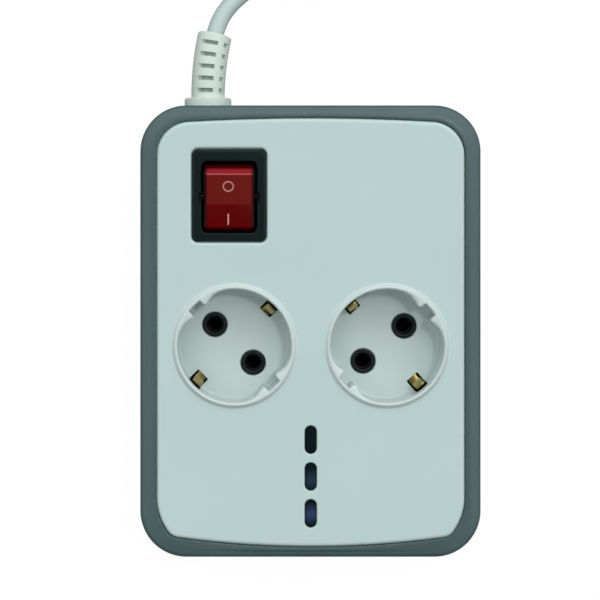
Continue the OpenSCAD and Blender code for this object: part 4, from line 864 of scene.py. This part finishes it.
def screwModel():
    # head's underside at zero, shank upwards, cross recess from below
    head, depth, radius, length = (screw[key] for key in
                                   ("headRadius", "headDepth", "radius", "length"))
    crown = depth * 0.4
    profile = [(0, -depth)]
    profile += [(head - crown + rise, run - depth) for run, rise in quarter(crown, 4)]
    profile += [(head, 0), (radius, 0)]
    for i in range(length):  # thread, as even ridges a millimetre apart
        z = i + 0.5
        profile += [(radius * 0.82, z - 0.25), (radius, z), (radius * 0.82, z + 0.25)]
    profile += [(radius * 0.8, length - 0.1), (0, length)]
    lathe(profile, 40)
    model = fromBmesh("screw", "steel")
    for angle in (0, 90):
        prism(roundRect(head * 1.3, screw["cross"], screw["cross"] * 0.3, 3),
              -depth - 1, -depth * 0.45, turned(angle, "Z"))
        carve(model, fromBmesh("slot", "steel"))
    return model


dress(setOnPoints("housing_screws", [(x, y, housing["screwSeat"]) for x, y in housing["screws"]],
                  screwModel(), screw["turnStep"]), "screw_steel", "case_screws")

lathe([(0, 0.25), (foot["groove"] - 0.5, 0.25), (foot["groove"] - 0.25, 0.0),
       (foot["groove"], 0)]
      + [(foot["radius"] - foot["edge"] + rise, run) for run, rise in quarter(foot["edge"], 6)]
      + [(foot["radius"], foot["height"] - 0.1), (foot["radius"] - 0.1, foot["height"]),
         (0, foot["height"])], 64)
dress(setOnPoints("feet", at(housing["feet"], 0), fromBmesh("foot", "rubberBlack")),
      "foot_rubber", "rubber_feet")
print("screws and feet set")

# front panel with socket holes, window holes and the switch's tray
tray = {
    "at": (-28.1, 46.8), "box": (26.1, 32.5, 2.4), "floor": 40.6, "low": 38.8,
    "edge": 0.9, "wall": 2.2, "opening": (22.2, 28.2, 1.0),
}
windows = {"y": -50, "pitch": 12.7, "size": (4.2, 9.8), "edge": 0.45}
sockets = {"x": 26.3, "y": -5.0, "hole": 21.63, "edge": 0.03}


def panelLevels():
    top, edgeRound, flange = panel["top"], panel["edgeRound"], panel["flange"]
    levels = [(-edgeRound - 0.6, top)]
    levels += [(rise - edgeRound, top - run) for run, rise in quarter(edgeRound, 8)]
    return levels + [(0, top - edgeRound - 0.3), (0, panel["flangeTop"]),
                     (flange, panel["flangeTop"]), (flange, panel["flangeLow"]),
                     (-2, panel["flangeLow"]), (-2, panel["skin"])]


def roundedEdge(edge, outer, steps):
    # levels of an opening's rounded edge, after a first one further out
    top = panel["top"]
    return [(outer, top)] + [(edge - rise, top - run) for run, rise in quarter(edge, steps)]


def trayRings():
    floor, low, wall = tray["floor"], tray["low"], tray["wall"]
    levels = roundedEdge(tray["edge"], tray["edge"] + 0.5, 6)
    levels += [(0, floor + 0.4), (-0.12, floor + 0.12), (-0.4, floor), (-0.8, floor)]
    return (boxRings(tray["box"], levels, 10, tray["at"])
            + boxRings(tray["opening"], [(0, floor), (0, low)], 10, tray["at"])
            + boxRings(tray["box"], [(wall, low), (wall, panel["skin"])], 10, tray["at"]))


top, edge, hole = panel["top"], sockets["edge"], sockets["hole"]
holes = [discRings((side * sockets["x"], sockets["y"]), [
    (hole + 2 * edge, top), (hole + edge, top), (hole, top - edge), (hole, panel["skin"])], 128)
    for side in (-1, 1)]
levels = roundedEdge(windows["edge"], 2 * windows["edge"], 5) + [(0, panel["skin"])]
for i in (-1, 0, 1):
    wide, tall = windows["size"]
    holes.append([at(obround(0, windows["y"] + i * windows["pitch"], wide + 2 * grow,
                             tall + 2 * grow), z) for grow, z in levels])
holes.append(trayRings())
plate([at(panelOutline(grow), z) for grow, z in panelLevels()], holes)
dress(fromBmesh("front_panel_shell", "panelPale"), "panel_pale", "front_panel")
print("panel made")

# socket wells, contact carriers and earth straps
well = {
    "inner": 19.5, "outer": 21.3, "rim": 21.6, "crest": 20.2, "rimRound": 1.1, "rimTop": 44.2,
    "floor": 26.7, "bottom": 24.9, "flange": 24.2, "flangeLow": 39.0, "flangeTop": 40.5,
    "floorRound": 0.7,
    "boss": 4.45, "pinPitch": 19.0,
    "rightTurn": 4.5,  # the right insert sits a little askew
    "window": (15.3, 22.0), "windowWidth": 5.0, "windowCorner": 0.4, "windowTop": 38.4,
    "guideReach": 2.2, "guideStart": 7.5, "guideSpan": 27.0,
    "guideShares": [(0, 0), (0.04, 0.8), (0.1, 1), (0.2, 0.96), (0.36, 0.62), (0.6, 0.24),
                    (1, 0)],
    "earReach": 27.6, "earRadius": 4.0, "earWidth": 7.8, "earLow": 34.4, "earHigh": 36.0,
    "earHole": 1.3,
}
carrier = {
    "radius": 17.0, "top": 23.9, "low": 21.6, "bevel": 0.2,
    "bossRadius": 4.35, "bossTop": 26.9, "bore": 2.7, "sleeveBore": 4.1, "sleeve": 5.5,
    "sleeveEnd": 7.0,
}
strap = {
    "low": 24.0, "high": 38.0, "thick": 0.8, "reach": 18.7, "pinch": 1.3, "width": 3.5,
    "footBend": 0.9, "innerBend": 0.3, "noseBend": 0.5, "edge": 0.15,
}


def pinAngle(side):
    return 90 - 45 * side - (well["rightTurn"] if side > 0 else 0)


def socketSpace(side, angle=0):
    return shift((side * sockets["x"], sockets["y"], 0)) @ turned(angle, "Z")


def guideShare(angle):
    # how far a rib stands in, by the angle from the pins' line; ribs come in two pairs
    u = (abs((angle + 90) % 180 - 90) - well["guideStart"]) / well["guideSpan"]
    for (u0, v0), (u1, v1) in zip(well["guideShares"], well["guideShares"][1:]):
        if u0 <= u <= u1:
            t = (u - u0) / (u1 - u0)
            return v0 + (v1 - v0) * (t * t * (3 - 2 * t) if u1 <= 0.2 else t)
    return 0.0


wellAngles = {i * 2.5 for i in range(144)}
for step in range(25):  # closer together where a rib starts
    run = well["guideStart"] + well["guideSpan"] * (step / 24) ** 2
    wellAngles |= {(half + turn * run) % 360 for half in (0, 180) for turn in (-1, 1)}
wellAngles = sorted(round(a, 3) for a in wellAngles)
wellAngles = [a for a, b in zip(wellAngles, wellAngles[1:] + [400]) if b - a > 0.02]


def wellRing(radiusAt, z):
    # radiusAt gives the radius from the wall's own radius at each angle
    ring = []
    for angle in wellAngles:
        radius = radiusAt(well["inner"] - well["guideReach"] * guideShare(angle))
        a = radians(angle)
        ring.append((radius * cos(a), radius * sin(a), z))
    return ring


def wellRings():
    # up the outside, over the domed rim and down the wall to the floor
    crest, rimTop, rimRound = well["crest"], well["rimTop"], well["rimRound"]
    floor, floorRound = well["floor"], well["floorRound"]
    rimFoot, base = well["rim"] + 0.15, panel["top"] + 0.003
    levels = [(well["outer"], well["bottom"]), (well["outer"], well["flangeLow"]),
              (well["flange"], well["flangeLow"]), (well["flange"], well["flangeTop"]),
              (well["rim"], well["flangeTop"]), (well["rim"], base)]
    levels += [(rimFoot - (rimFoot - crest) * i / 12,
                base + (rimTop - base) * sin(pi * i / 24) ** 2) for i in range(13)]
    rings = [wellRing(lambda wall, r=radius: r, z) for radius, z in levels]
    for a in (radians(10 * i) for i in range(1, 10)):
        rings.append(wellRing(lambda wall, f=sin(a): crest - (crest - wall) * f,
                              rimTop - rimRound * (1 - cos(a))))
    rings.append(wellRing(lambda wall: wall, rimTop - rimRound - 0.3))
    rings.append(wellRing(lambda wall: wall, floor + floorRound + 0.3))
    for run, rise in reversed(quarter(floorRound, 5)):
        rings.append(wellRing(lambda wall, f=floorRound - rise: wall - f, floor + run))
    rings.append(wellRing(lambda wall: wall - floorRound - 0.4, floor))
    return rings


def makeWell(side, word):
    stack(wellRings(), place=socketSpace(side, pinAngle(side)))
    insert = fromBmesh("socket_insert_" + word, "wellPale")
    reach, wide, inside = well["earReach"], well["earWidth"] / 2, well["inner"] + 0.9
    for half in (90, 270):
        tab = arc(reach, 0, well["earRadius"], -90, 90, 16) + [(inside, wide), (inside, -wide)]
        prism(tab, well["earLow"], well["earHigh"], socketSpace(side, half))
    carve(insert, fromBmesh("ears", "wellPale"), "UNION")
    near, far = well["window"]
    for half in (0, 180):
        prism(roundRect(far - near, well["windowWidth"], well["windowCorner"], 4,
                        cx=(near + far) / 2), well["bottom"] - 1, well["windowTop"],
              socketSpace(side, pinAngle(side) + 90 * side + half))
        carve(insert, fromBmesh("earth_opening", "wellPale"))
    boss, low, high = well["boss"], well["bottom"] - 1, well["floor"]
    for half in (0, 180):
        lathe([(0, low), (boss, low), (boss, high - 0.3), (boss + 0.4, high + 0.1),
               (0, high + 0.1)], 56,
              socketSpace(side, pinAngle(side) + half) @ shift((well["pinPitch"] / 2, 0, 0)))
        prism(circle(reach, 0, well["earHole"], 24), well["earLow"] - 1,
              well["earHigh"] + 1, socketSpace(side, 90 + half))
    carve(insert, fromBmesh("openings", "wellPale"))
    dress(insert, "well_pale", "socket_well_" + word)


def makeCarrier(side, word):
    # a disc with two hollow pin bosses, which go on below as sleeves
    cx, cy = side * sockets["x"], sockets["y"]
    radius, top, low, bevel = (carrier[key] for key in ("radius", "top", "low", "bevel"))
    boss, high, bore = carrier["bossRadius"], carrier["bossTop"], carrier["bore"]
    inner, outer, end = carrier["sleeveBore"], carrier["sleeve"], carrier["sleeveEnd"]
    bossLevels = [(boss, top), (boss, high - 0.25), (boss - 0.08, high - 0.08),
                  (boss - 0.25, high), (bore + 0.65, high), (bore + 0.4, high - 0.08),
                  (bore + 0.05, high - 0.5), (bore, high - 0.8), (bore, low), (inner, low),
                  (inner, end), (outer, end), (outer, low)]
    bosses = []
    for half in (0, 180):
        a = radians(pinAngle(side) + half)
        centre = (cx + well["pinPitch"] / 2 * cos(a), cy + well["pinPitch"] / 2 * sin(a))
        bosses.append(discRings(centre, bossLevels, 56))
    plate(discRings((cx, cy), [(radius - bevel, top), (radius, top - bevel), (radius, low)],
                    96), bosses)
    dress(fromBmesh("pin_carrier_" + word, "carrierBlack"), "carrier_black",
          "contact_carrier_" + word)


def makeStrap(side, word):
    # earth strap, bent from one strip with a pinched leg at each end
    low, high, thick, reach, pinch = (strap[key] for key in
                                      ("low", "high", "thick", "reach", "pinch"))
    knee, nose = low + 0.4 * (high - low), low + 0.7 * (high - low)
    leg = [(reach, low), (reach, knee), (reach - pinch, nose), (reach, high),
           (reach - thick, high), (reach - pinch - thick, nose), (reach - thick, knee),
           (reach - thick, low + thick)]
    outline = leg + [(-x, z) for x, z in reversed(leg)]
    bends = {}
    for corners, bend in (((0, 15), "footBend"), ((7, 8), "innerBend"),
                          ((2, 5, 10, 13), "noseBend")):
        bends.update({corner: strap[bend] for corner in corners})
    prism(easeCorners(outline, bends), -strap["width"] / 2, strap["width"] / 2,
          socketSpace(side, pinAngle(side) + 90 * side) @ turned(90, "X"))
    dress(softenEdges(fromBmesh("earth_spring_" + word, "brass"), strap["edge"]),
          "contact_brass", "earth_strap_" + word)


for side, word in ((-1, "left"), (1, "right")):
    makeWell(side, word)
    makeCarrier(side, word)
    makeStrap(side, word)
print("sockets made")

# switch: flanged housing
switch = {
    "at": (-28.1, 46.8), "flange": (25.6, 31.8, 2.0), "flangeLow": 40.6, "flangeTop": 42.2,
    "flangeRound": 0.8, "body": (21.8, 27.8, 0.6), "bodyLow": 19.0, "bodyFloor": 22.2,
    "mouth": (19.4, 24.9, 2.2), "mouthShift": -0.5, "mouthRound": 0.25,
    "notchWidth": 3.0, "notchDepth": 0.8, "notchHeight": 2.8,
    "pivotZ": 37.0, "pivotHole": 1.66, "pivotDepth": 13,
}
switchX, mouthY = switch["at"][0], switch["at"][1] + switch["mouthShift"]
pivot = (switchX, mouthY, switch["pivotZ"])


def mouthOutline(grow, notch):
    # rounded opening with a notch at mid-height on both sides
    w, h, radius = switch["mouth"]
    w, h, radius = w + 2 * grow, h + 2 * grow, radius + grow
    half = switch["notchWidth"] / 2
    right = arc(w / 2 - radius, radius - h / 2, radius, 270, 360, 8)
    right += [(w / 2, -half - 0.01), (w / 2 + notch, -half), (w / 2 + notch, half),
              (w / 2, half + 0.01)]
    right += arc(w / 2 - radius, h / 2 - radius, radius, 0, 90, 8)
    left = [(-x, -y) for x, y in right]
    return [(switchX + x, mouthY + y) for x, y in right + left]


def switchRings():
    top, low, edge = switch["flangeTop"], switch["flangeLow"], switch["flangeRound"]
    levels = [(-edge - 0.3, top)]
    levels += [(rise - edge, top - run) for run, rise in quarter(edge, 6)]
    levels += [(0, low + 0.3), (0, low)]
    return (boxRings(switch["flange"], levels, 8, switch["at"])
            + boxRings(switch["body"], [(0, low), (0, switch["bodyLow"])], 8, switch["at"]))


def mouthRings():
    top, edge, notch = switch["flangeTop"], switch["mouthRound"], switch["notchDepth"]
    notchLow = top - switch["notchHeight"]
    levels = [(edge + 0.4, notch, top)]
    levels += [(edge - rise, notch, top - run) for run, rise in quarter(edge, 5)]
    levels += [(0, notch, notchLow), (0, 0, notchLow - 0.01), (0, 0, switch["bodyFloor"])]
    return [at(mouthOutline(grow, deep), z) for grow, deep, z in levels]


plate(switchRings(), (), [mouthRings()])
switchBody = fromBmesh("switch_flange_housing", "bezelBlack")
hole, deep = switch["pivotHole"], switch["pivotDepth"]
lathe([(0, -deep), (hole, -deep), (hole, deep), (0, deep)], 40,
      shift(pivot) @ turned(90, "Y"))
carve(switchBody, fromBmesh("pivot_holes", "bezelBlack"))
dress(switchBody, "switch_black", "switch_housing")

# rocker, shaped in its own plane and tipped to its pressed position
rocker = {
    "width": 17.7, "endRadius": 11.7, "cornerY": 9.33, "valley": (-1.7, 5.0), "skirt": 15,
    "sideRound": 0.95, "cornerEase": 0.55, "valleyEase": 0.5, "skirtEase": 0.4, "tilt": 10.5,
    "pivotRadius": 1.6, "pivotReach": 10.65,
    "pocket": (14.7, 16.7, 1.0), "pocketTop": 3.0,
    "screen": (88, 1, 0),
    "paintedLight": [  # painted light, where each colour takes over along the rocker or towards its sides
        # painted reflection on the O face, painted highlight line and lit band on the raised end,
        # painted shade where that end turns down and along the sides
        ("Y", -1.9, -1.5, (114, 27, 22)), ("Y", 9.0, 9.12, (196, 104, 98)),
        ("Y", 9.22, 9.4, (142, 24, 34)), ("Y", 10.3, 11.1, (58, 5, 4)),
        ("side", 7.2, 8.3, (30, 7, 7))],
}
marks = {
    "x": -0.3, "proud": 0.05, "sunk": 0.1,
    "ringAt": (4.82, 6.22), "ringRadius": 1.97, "ringStroke": 0.5,
    "barAt": (-6.64, 6.33), "bar": (0.52, 3.9, 0.2),
}
cornerZ = sqrt(rocker["endRadius"] ** 2 - rocker["cornerY"] ** 2)
rockerSpace = shift(pivot) @ turned(rocker["tilt"], "X")
# the outline's first axis runs along Y, its second along Z, and its depth along X
outlineSpace = rockerSpace @ Matrix(((0, 0, 1, 0), (1, 0, 0, 0), (0, 1, 0, 0), (0, 0, 0, 1)))


def rockerOutline():
    # two round ends with a shallow valley between them
    radius, skirt = rocker["endRadius"], rocker["skirt"]
    corner = degrees(atan2(cornerZ, rocker["cornerY"]))
    right = arc(0, 0, radius, -skirt, corner, 14)
    left = arc(0, 0, radius, 180 - corner, 180 + skirt, 14)
    outline = right + [rocker["valley"]] + left
    return easeCorners(outline, {
        len(right) - 1: rocker["cornerEase"], len(right): rocker["valleyEase"],
        len(right) + 1: rocker["cornerEase"], 0: rocker["skirtEase"],
        len(outline) - 1: rocker["skirtEase"]})


def rockerFinish():
    # clear red moulding with painted light: a painted reflection on the O face, a painted
    # highlight line and lit band on the raised end, painted shade at that end's far edge and along
    # the sides
    material = plastic("rockerRed", rocker["screen"], rough=0.2, cloud=0.1, cloudSize=90,
                       depth=0.002, gloss=0.14)
    tree = material.node_tree
    place = next(n for n in tree.nodes if n.type == "TEX_COORD")
    local = addNode(tree, "ShaderNodeMapping",
                    [("Vector", place.outputs["Object"]),
                     ("Location", [c * mm for c in pivot]),
                     ("Rotation", (radians(rocker["tilt"]), 0, 0))], vector_type="TEXTURE")
    axes = addNode(tree, "ShaderNodeSeparateXYZ", [(0, local.outputs[0])]).outputs
    aside = reckon(tree, "ABSOLUTE", axes["X"])
    for way, start, end, screen in rocker["paintedLight"]:
        source = aside if way == "side" else axes[way]
        overlay(tree, mapRange(tree, source, start * mm, end * mm), screen)
    return material


finishes["rockerRed"] = rockerFinish()
outline, half, edge = rockerOutline(), rocker["width"] / 2, rocker["sideRound"]
levels = [(run, half - edge + rise) for run, rise in quarter(edge, 6)]
stack([at(inward(outline, inset), -x) for inset, x in reversed(levels)]
      + [at(inward(outline, inset), x) for inset, x in levels], place=outlineSpace)
rockerPiece = fromBmesh("rocker_cap", "rockerRed", angle=24)
prism(roundRect(*rocker["pocket"], 4), -14, rocker["pocketTop"], rockerSpace)
carve(rockerPiece, fromBmesh("pocket", "rockerRed"), angle=24)
pin, reach = rocker["pivotRadius"], rocker["pivotReach"]
for angle in (90, -90):
    lathe([(0, half - 1), (pin, half - 1), (pin, reach - 0.2), (pin - 0.2, reach),
           (0, reach)], 32, rockerSpace @ turned(angle, "Y"))
carve(rockerPiece, fromBmesh("pivots", "rockerRed"), "UNION", angle=24)
dress(rockerPiece, "rocker_red", "rocker", body="rocker")


def faceSpace(place, cornerY):
    # space on a face of the rocker, with its second axis up the face
    along = (Vector((cornerY, cornerZ)) - Vector(rocker["valley"])).normalized()
    if along.x < 0:
        along = -along
    y, z = place
    return rockerSpace @ Matrix((
        (1, 0, 0, marks["x"] * mm), (0, along.x, -along.y, y * mm),
        (0, along.y, along.x, z * mm), (0, 0, 0, 1)))


# marks, set on the two faces
proud, sunk = marks["proud"], marks["sunk"]
outer, inner = marks["ringRadius"], marks["ringRadius"] - marks["ringStroke"]
stack(discRings((0, 0), [(outer, -sunk), (outer, proud * 0.6), (outer - proud, proud),
                         (inner + proud, proud), (inner, proud * 0.6), (inner, -sunk)], 48),
      closed=True, place=faceSpace(marks["ringAt"], rocker["cornerY"]))
dress(fromBmesh("ring_mark", "markWhite"), "insulator_white", body="rocker")
wide, tall, corner = marks["bar"]
stack([at(roundRect(wide - 2 * inset, tall - 2 * inset, corner, 4), z)
       for inset, z in ((0, -sunk), (0, proud * 0.6), (proud, proud))],
      place=faceSpace(marks["barAt"], -rocker["cornerY"]))
dress(fromBmesh("bar_mark", "markWhite"), "insulator_white", body="rocker")
print("switch made")

# indicator strip: three domed windows on one base
lens = {
    "base": (7.4, 37.6, 1.0), "baseLow": 38.6, "baseTop": 40.6, "top": 42.3, "gap": 0.15,
    "dome": 0.12,
    "screen": (13, 24, 29),
    # painted blue glow on the lower two windows: place, radius and colour
    "paintedGlows": [((0.3, -51.2), 4.6, (30, 53, 68)), ((0.3, -62.9), 4.4, (44, 62, 96))],
}


def lensFinish():
    # dark glossy windows with a painted blue glow on the lower two
    material = plastic("lensDark", lens["screen"], rough=0.12, cloud=0.15, cloudSize=300,
                       gloss=0.4, depth=0.001)
    tree = material.node_tree
    place = next(n for n in tree.nodes if n.type == "TEX_COORD")
    for (x, y), radius, screen in lens["paintedGlows"]:
        away = addNode(tree, "ShaderNodeVectorMath",
                       [(0, place.outputs["Object"]), (1, (x * mm, y * mm, lens["top"] * mm))],
                       operation="DISTANCE")
        overlay(tree, mapRange(tree, away.outputs["Value"], 0.0, radius * mm, 1.0, 0.0), screen)
    return material


finishes["lensDark"] = lensFinish()
stack(boxRings(lens["base"], [(0, lens["baseLow"]), (0, lens["baseTop"] - 0.05)], 6,
               (0, windows["y"])))
wide, tall = (size - 2 * lens["gap"] for size in windows["size"])
levels = [(0, lens["baseTop"] - 0.5), (0, lens["top"] - lens["dome"] - 0.3)]
levels += [(inset, lens["top"] - lens["dome"] * (inset / (wide / 2 - 0.05) - 1) ** 2)
           for inset in [(wide / 2 - 0.1) * f for f in (0.05, 0.15, 0.3, 0.5, 0.7, 0.85, 1)]]
for i in (-1, 0, 1):
    y = windows["y"] + i * windows["pitch"]
    stack([at(obround(0, y, wide - 2 * inset, tall - 2 * inset), z) for inset, z in levels])
dress(fromBmesh("indicator_windows", "lensDark"), "lens_dark", "indicator_lens")
print("indicator windows made")

# finishes of the solids that stay as they are
nodeFinishes = {
    "brass": ["contact_lever_line", "contact_lever_neutral", "switch_terminals"],
    # the busbars take darkened brass as painted shade, so the pin holes read dark
    "brassPaintedShade": ["line_busbar", "neutral_busbar"],
    "steel": ["well_screws", "rocker_springs", "board_screws", "fuse_clips", "clamp_screws"],
    "ivory": ["rocker_plungers"],
    "lampAmber": ["neon_lamp"],
    "white": ["spade_connectors", "light_shroud"],
    "boardGreen": ["circuit_board"],
    "relayBlue": ["power_relay"],
    "filmYellow": ["film_capacitor"],
    "canBlack": ["filter_capacitor"],
    "discBlue": ["varistor"],
    "fuseGlass": ["fuse"],
    "chipBlack": ["rectifier_diodes", "controller_chip", "chip_resistors"],
    "ledTint": ["status_leds"],
    "caseGrey": ["cord_clamp"],
    "wireBrown": ["line_wires"],
    "wireBlue": ["neutral_wires"],
    "wireGreen": ["earth_wires"],
}
for finish, nodes in nodeFinishes.items():
    for node in nodes:
        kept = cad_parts[node].data
        kept.materials.clear()
        kept.materials.append(finishes[finish])
print("kept nodes finished")

# floor, light and background
studio = {
    "floorSize": 3.0, "floorWhite": 0.3, "floorGlow": 0.8, "glowStrength": 1.2,
    # place, size and power of each lamp, and whether it is seen in gloss
    "lamps": {"key": ((0.22, 0.25, 1.5), 0.12, 3.3, False),
              "fill": ((0.2, 1.0, 0.9), 0.9, 2.4, False),
              "lift": ((-0.35, -0.3, 1.3), 0.6, 1.9, False),
              "glint": ((0.34, 0.39, 1.5), 0.12, 0.9, True)},
    "sky": (0.97, 0.99, 1.0), "horizon": 0.8, "overhead": 0.06, "lowSky": 0.02,
    "darkCone": (13, 27),  # the dark patch overhead, fading out between these angles
    "darkAxis": (0, -0.12, 0.99),
    "brightSide": (0.22, 1.1, 0),
}


def forCamera(tree, others, seen):
    # one look for the camera's own rays, another for light and reflections
    rays = addNode(tree, "ShaderNodeLightPath")
    return addNode(tree, "ShaderNodeMixShader",
                   [(0, rays.outputs["Is Camera Ray"]), (1, others.outputs[0]),
                    (2, seen.outputs[0])]).outputs[0]


def makeFloor():
    grid = bmesh.new()
    bmesh.ops.create_grid(grid, x_segments=2, y_segments=2, size=studio["floorSize"] / 2)
    mesh = bpy.data.meshes.new("floor")
    grid.to_mesh(mesh)
    grid.free()
    material = bpy.data.materials.new("floorWhite")
    material.use_nodes = True
    tree = material.node_tree
    ground = tree.nodes["Principled BSDF"]
    ground.inputs["Base Color"].default_value = (studio["floorWhite"],) * 3 + (1,)
    ground.inputs["Roughness"].default_value = 0.9
    glow = addNode(tree, "ShaderNodeEmission", [("Strength", studio["glowStrength"])])
    lit = addNode(tree, "ShaderNodeMixShader",
                  [(0, studio["floorGlow"]), (1, ground.outputs[0]), (2, glow.outputs[0])])
    tree.links.new(forCamera(tree, ground, lit), tree.nodes["Material Output"].inputs["Surface"])
    newObject("floor", mesh, material)


def makeSky():
    world = bpy.data.worlds.new("studio")
    bpy.context.scene.world = world
    world.use_nodes = True
    tree = world.node_tree
    dim = tree.nodes["Background"]
    dim.inputs["Color"].default_value = (*studio["sky"], 1)
    heading = addNode(tree, "ShaderNodeTexCoord").outputs["Generated"]

    def along(axis):
        return addNode(tree, "ShaderNodeVectorMath", [(0, heading), (1, axis)],
                       operation="DOT_PRODUCT").outputs["Value"]

    inner, outer = (cos(radians(a)) for a in studio["darkCone"])
    patch = mapRange(tree, along(studio["darkAxis"]), outer, inner, studio["horizon"],
                     studio["overhead"])
    uneven = reckon(tree, "ADD", along(studio["brightSide"]), 1.0)
    low = mapRange(tree, along((0, 0, 1)), 0.0, 0.5, studio["lowSky"], 1.0, "LINEAR")
    strength = reckon(tree, "MULTIPLY", reckon(tree, "MULTIPLY", low, patch), uneven)
    tree.links.new(strength, dim.inputs["Strength"])
    bright = addNode(tree, "ShaderNodeBackground", [("Strength", 1.0)])
    tree.links.new(forCamera(tree, dim, bright), tree.nodes["World Output"].inputs["Surface"])


makeFloor()
makeSky()
for name, (place, size, power, glossy) in studio["lamps"].items():
    lampData = bpy.data.lights.new(name, "AREA")
    lampData.shape, lampData.size, lampData.energy = "DISK", size, power
    lamp = bpy.data.objects.new(name, lampData)
    lamp.location = place
    lamp.rotation_euler = (-lamp.location).to_track_quat("-Z", "Y").to_euler()
    lamp.visible_glossy = glossy
    bpy.context.collection.objects.link(lamp)
bpy.context.scene.view_settings.view_transform = "Standard"
print("studio lit")
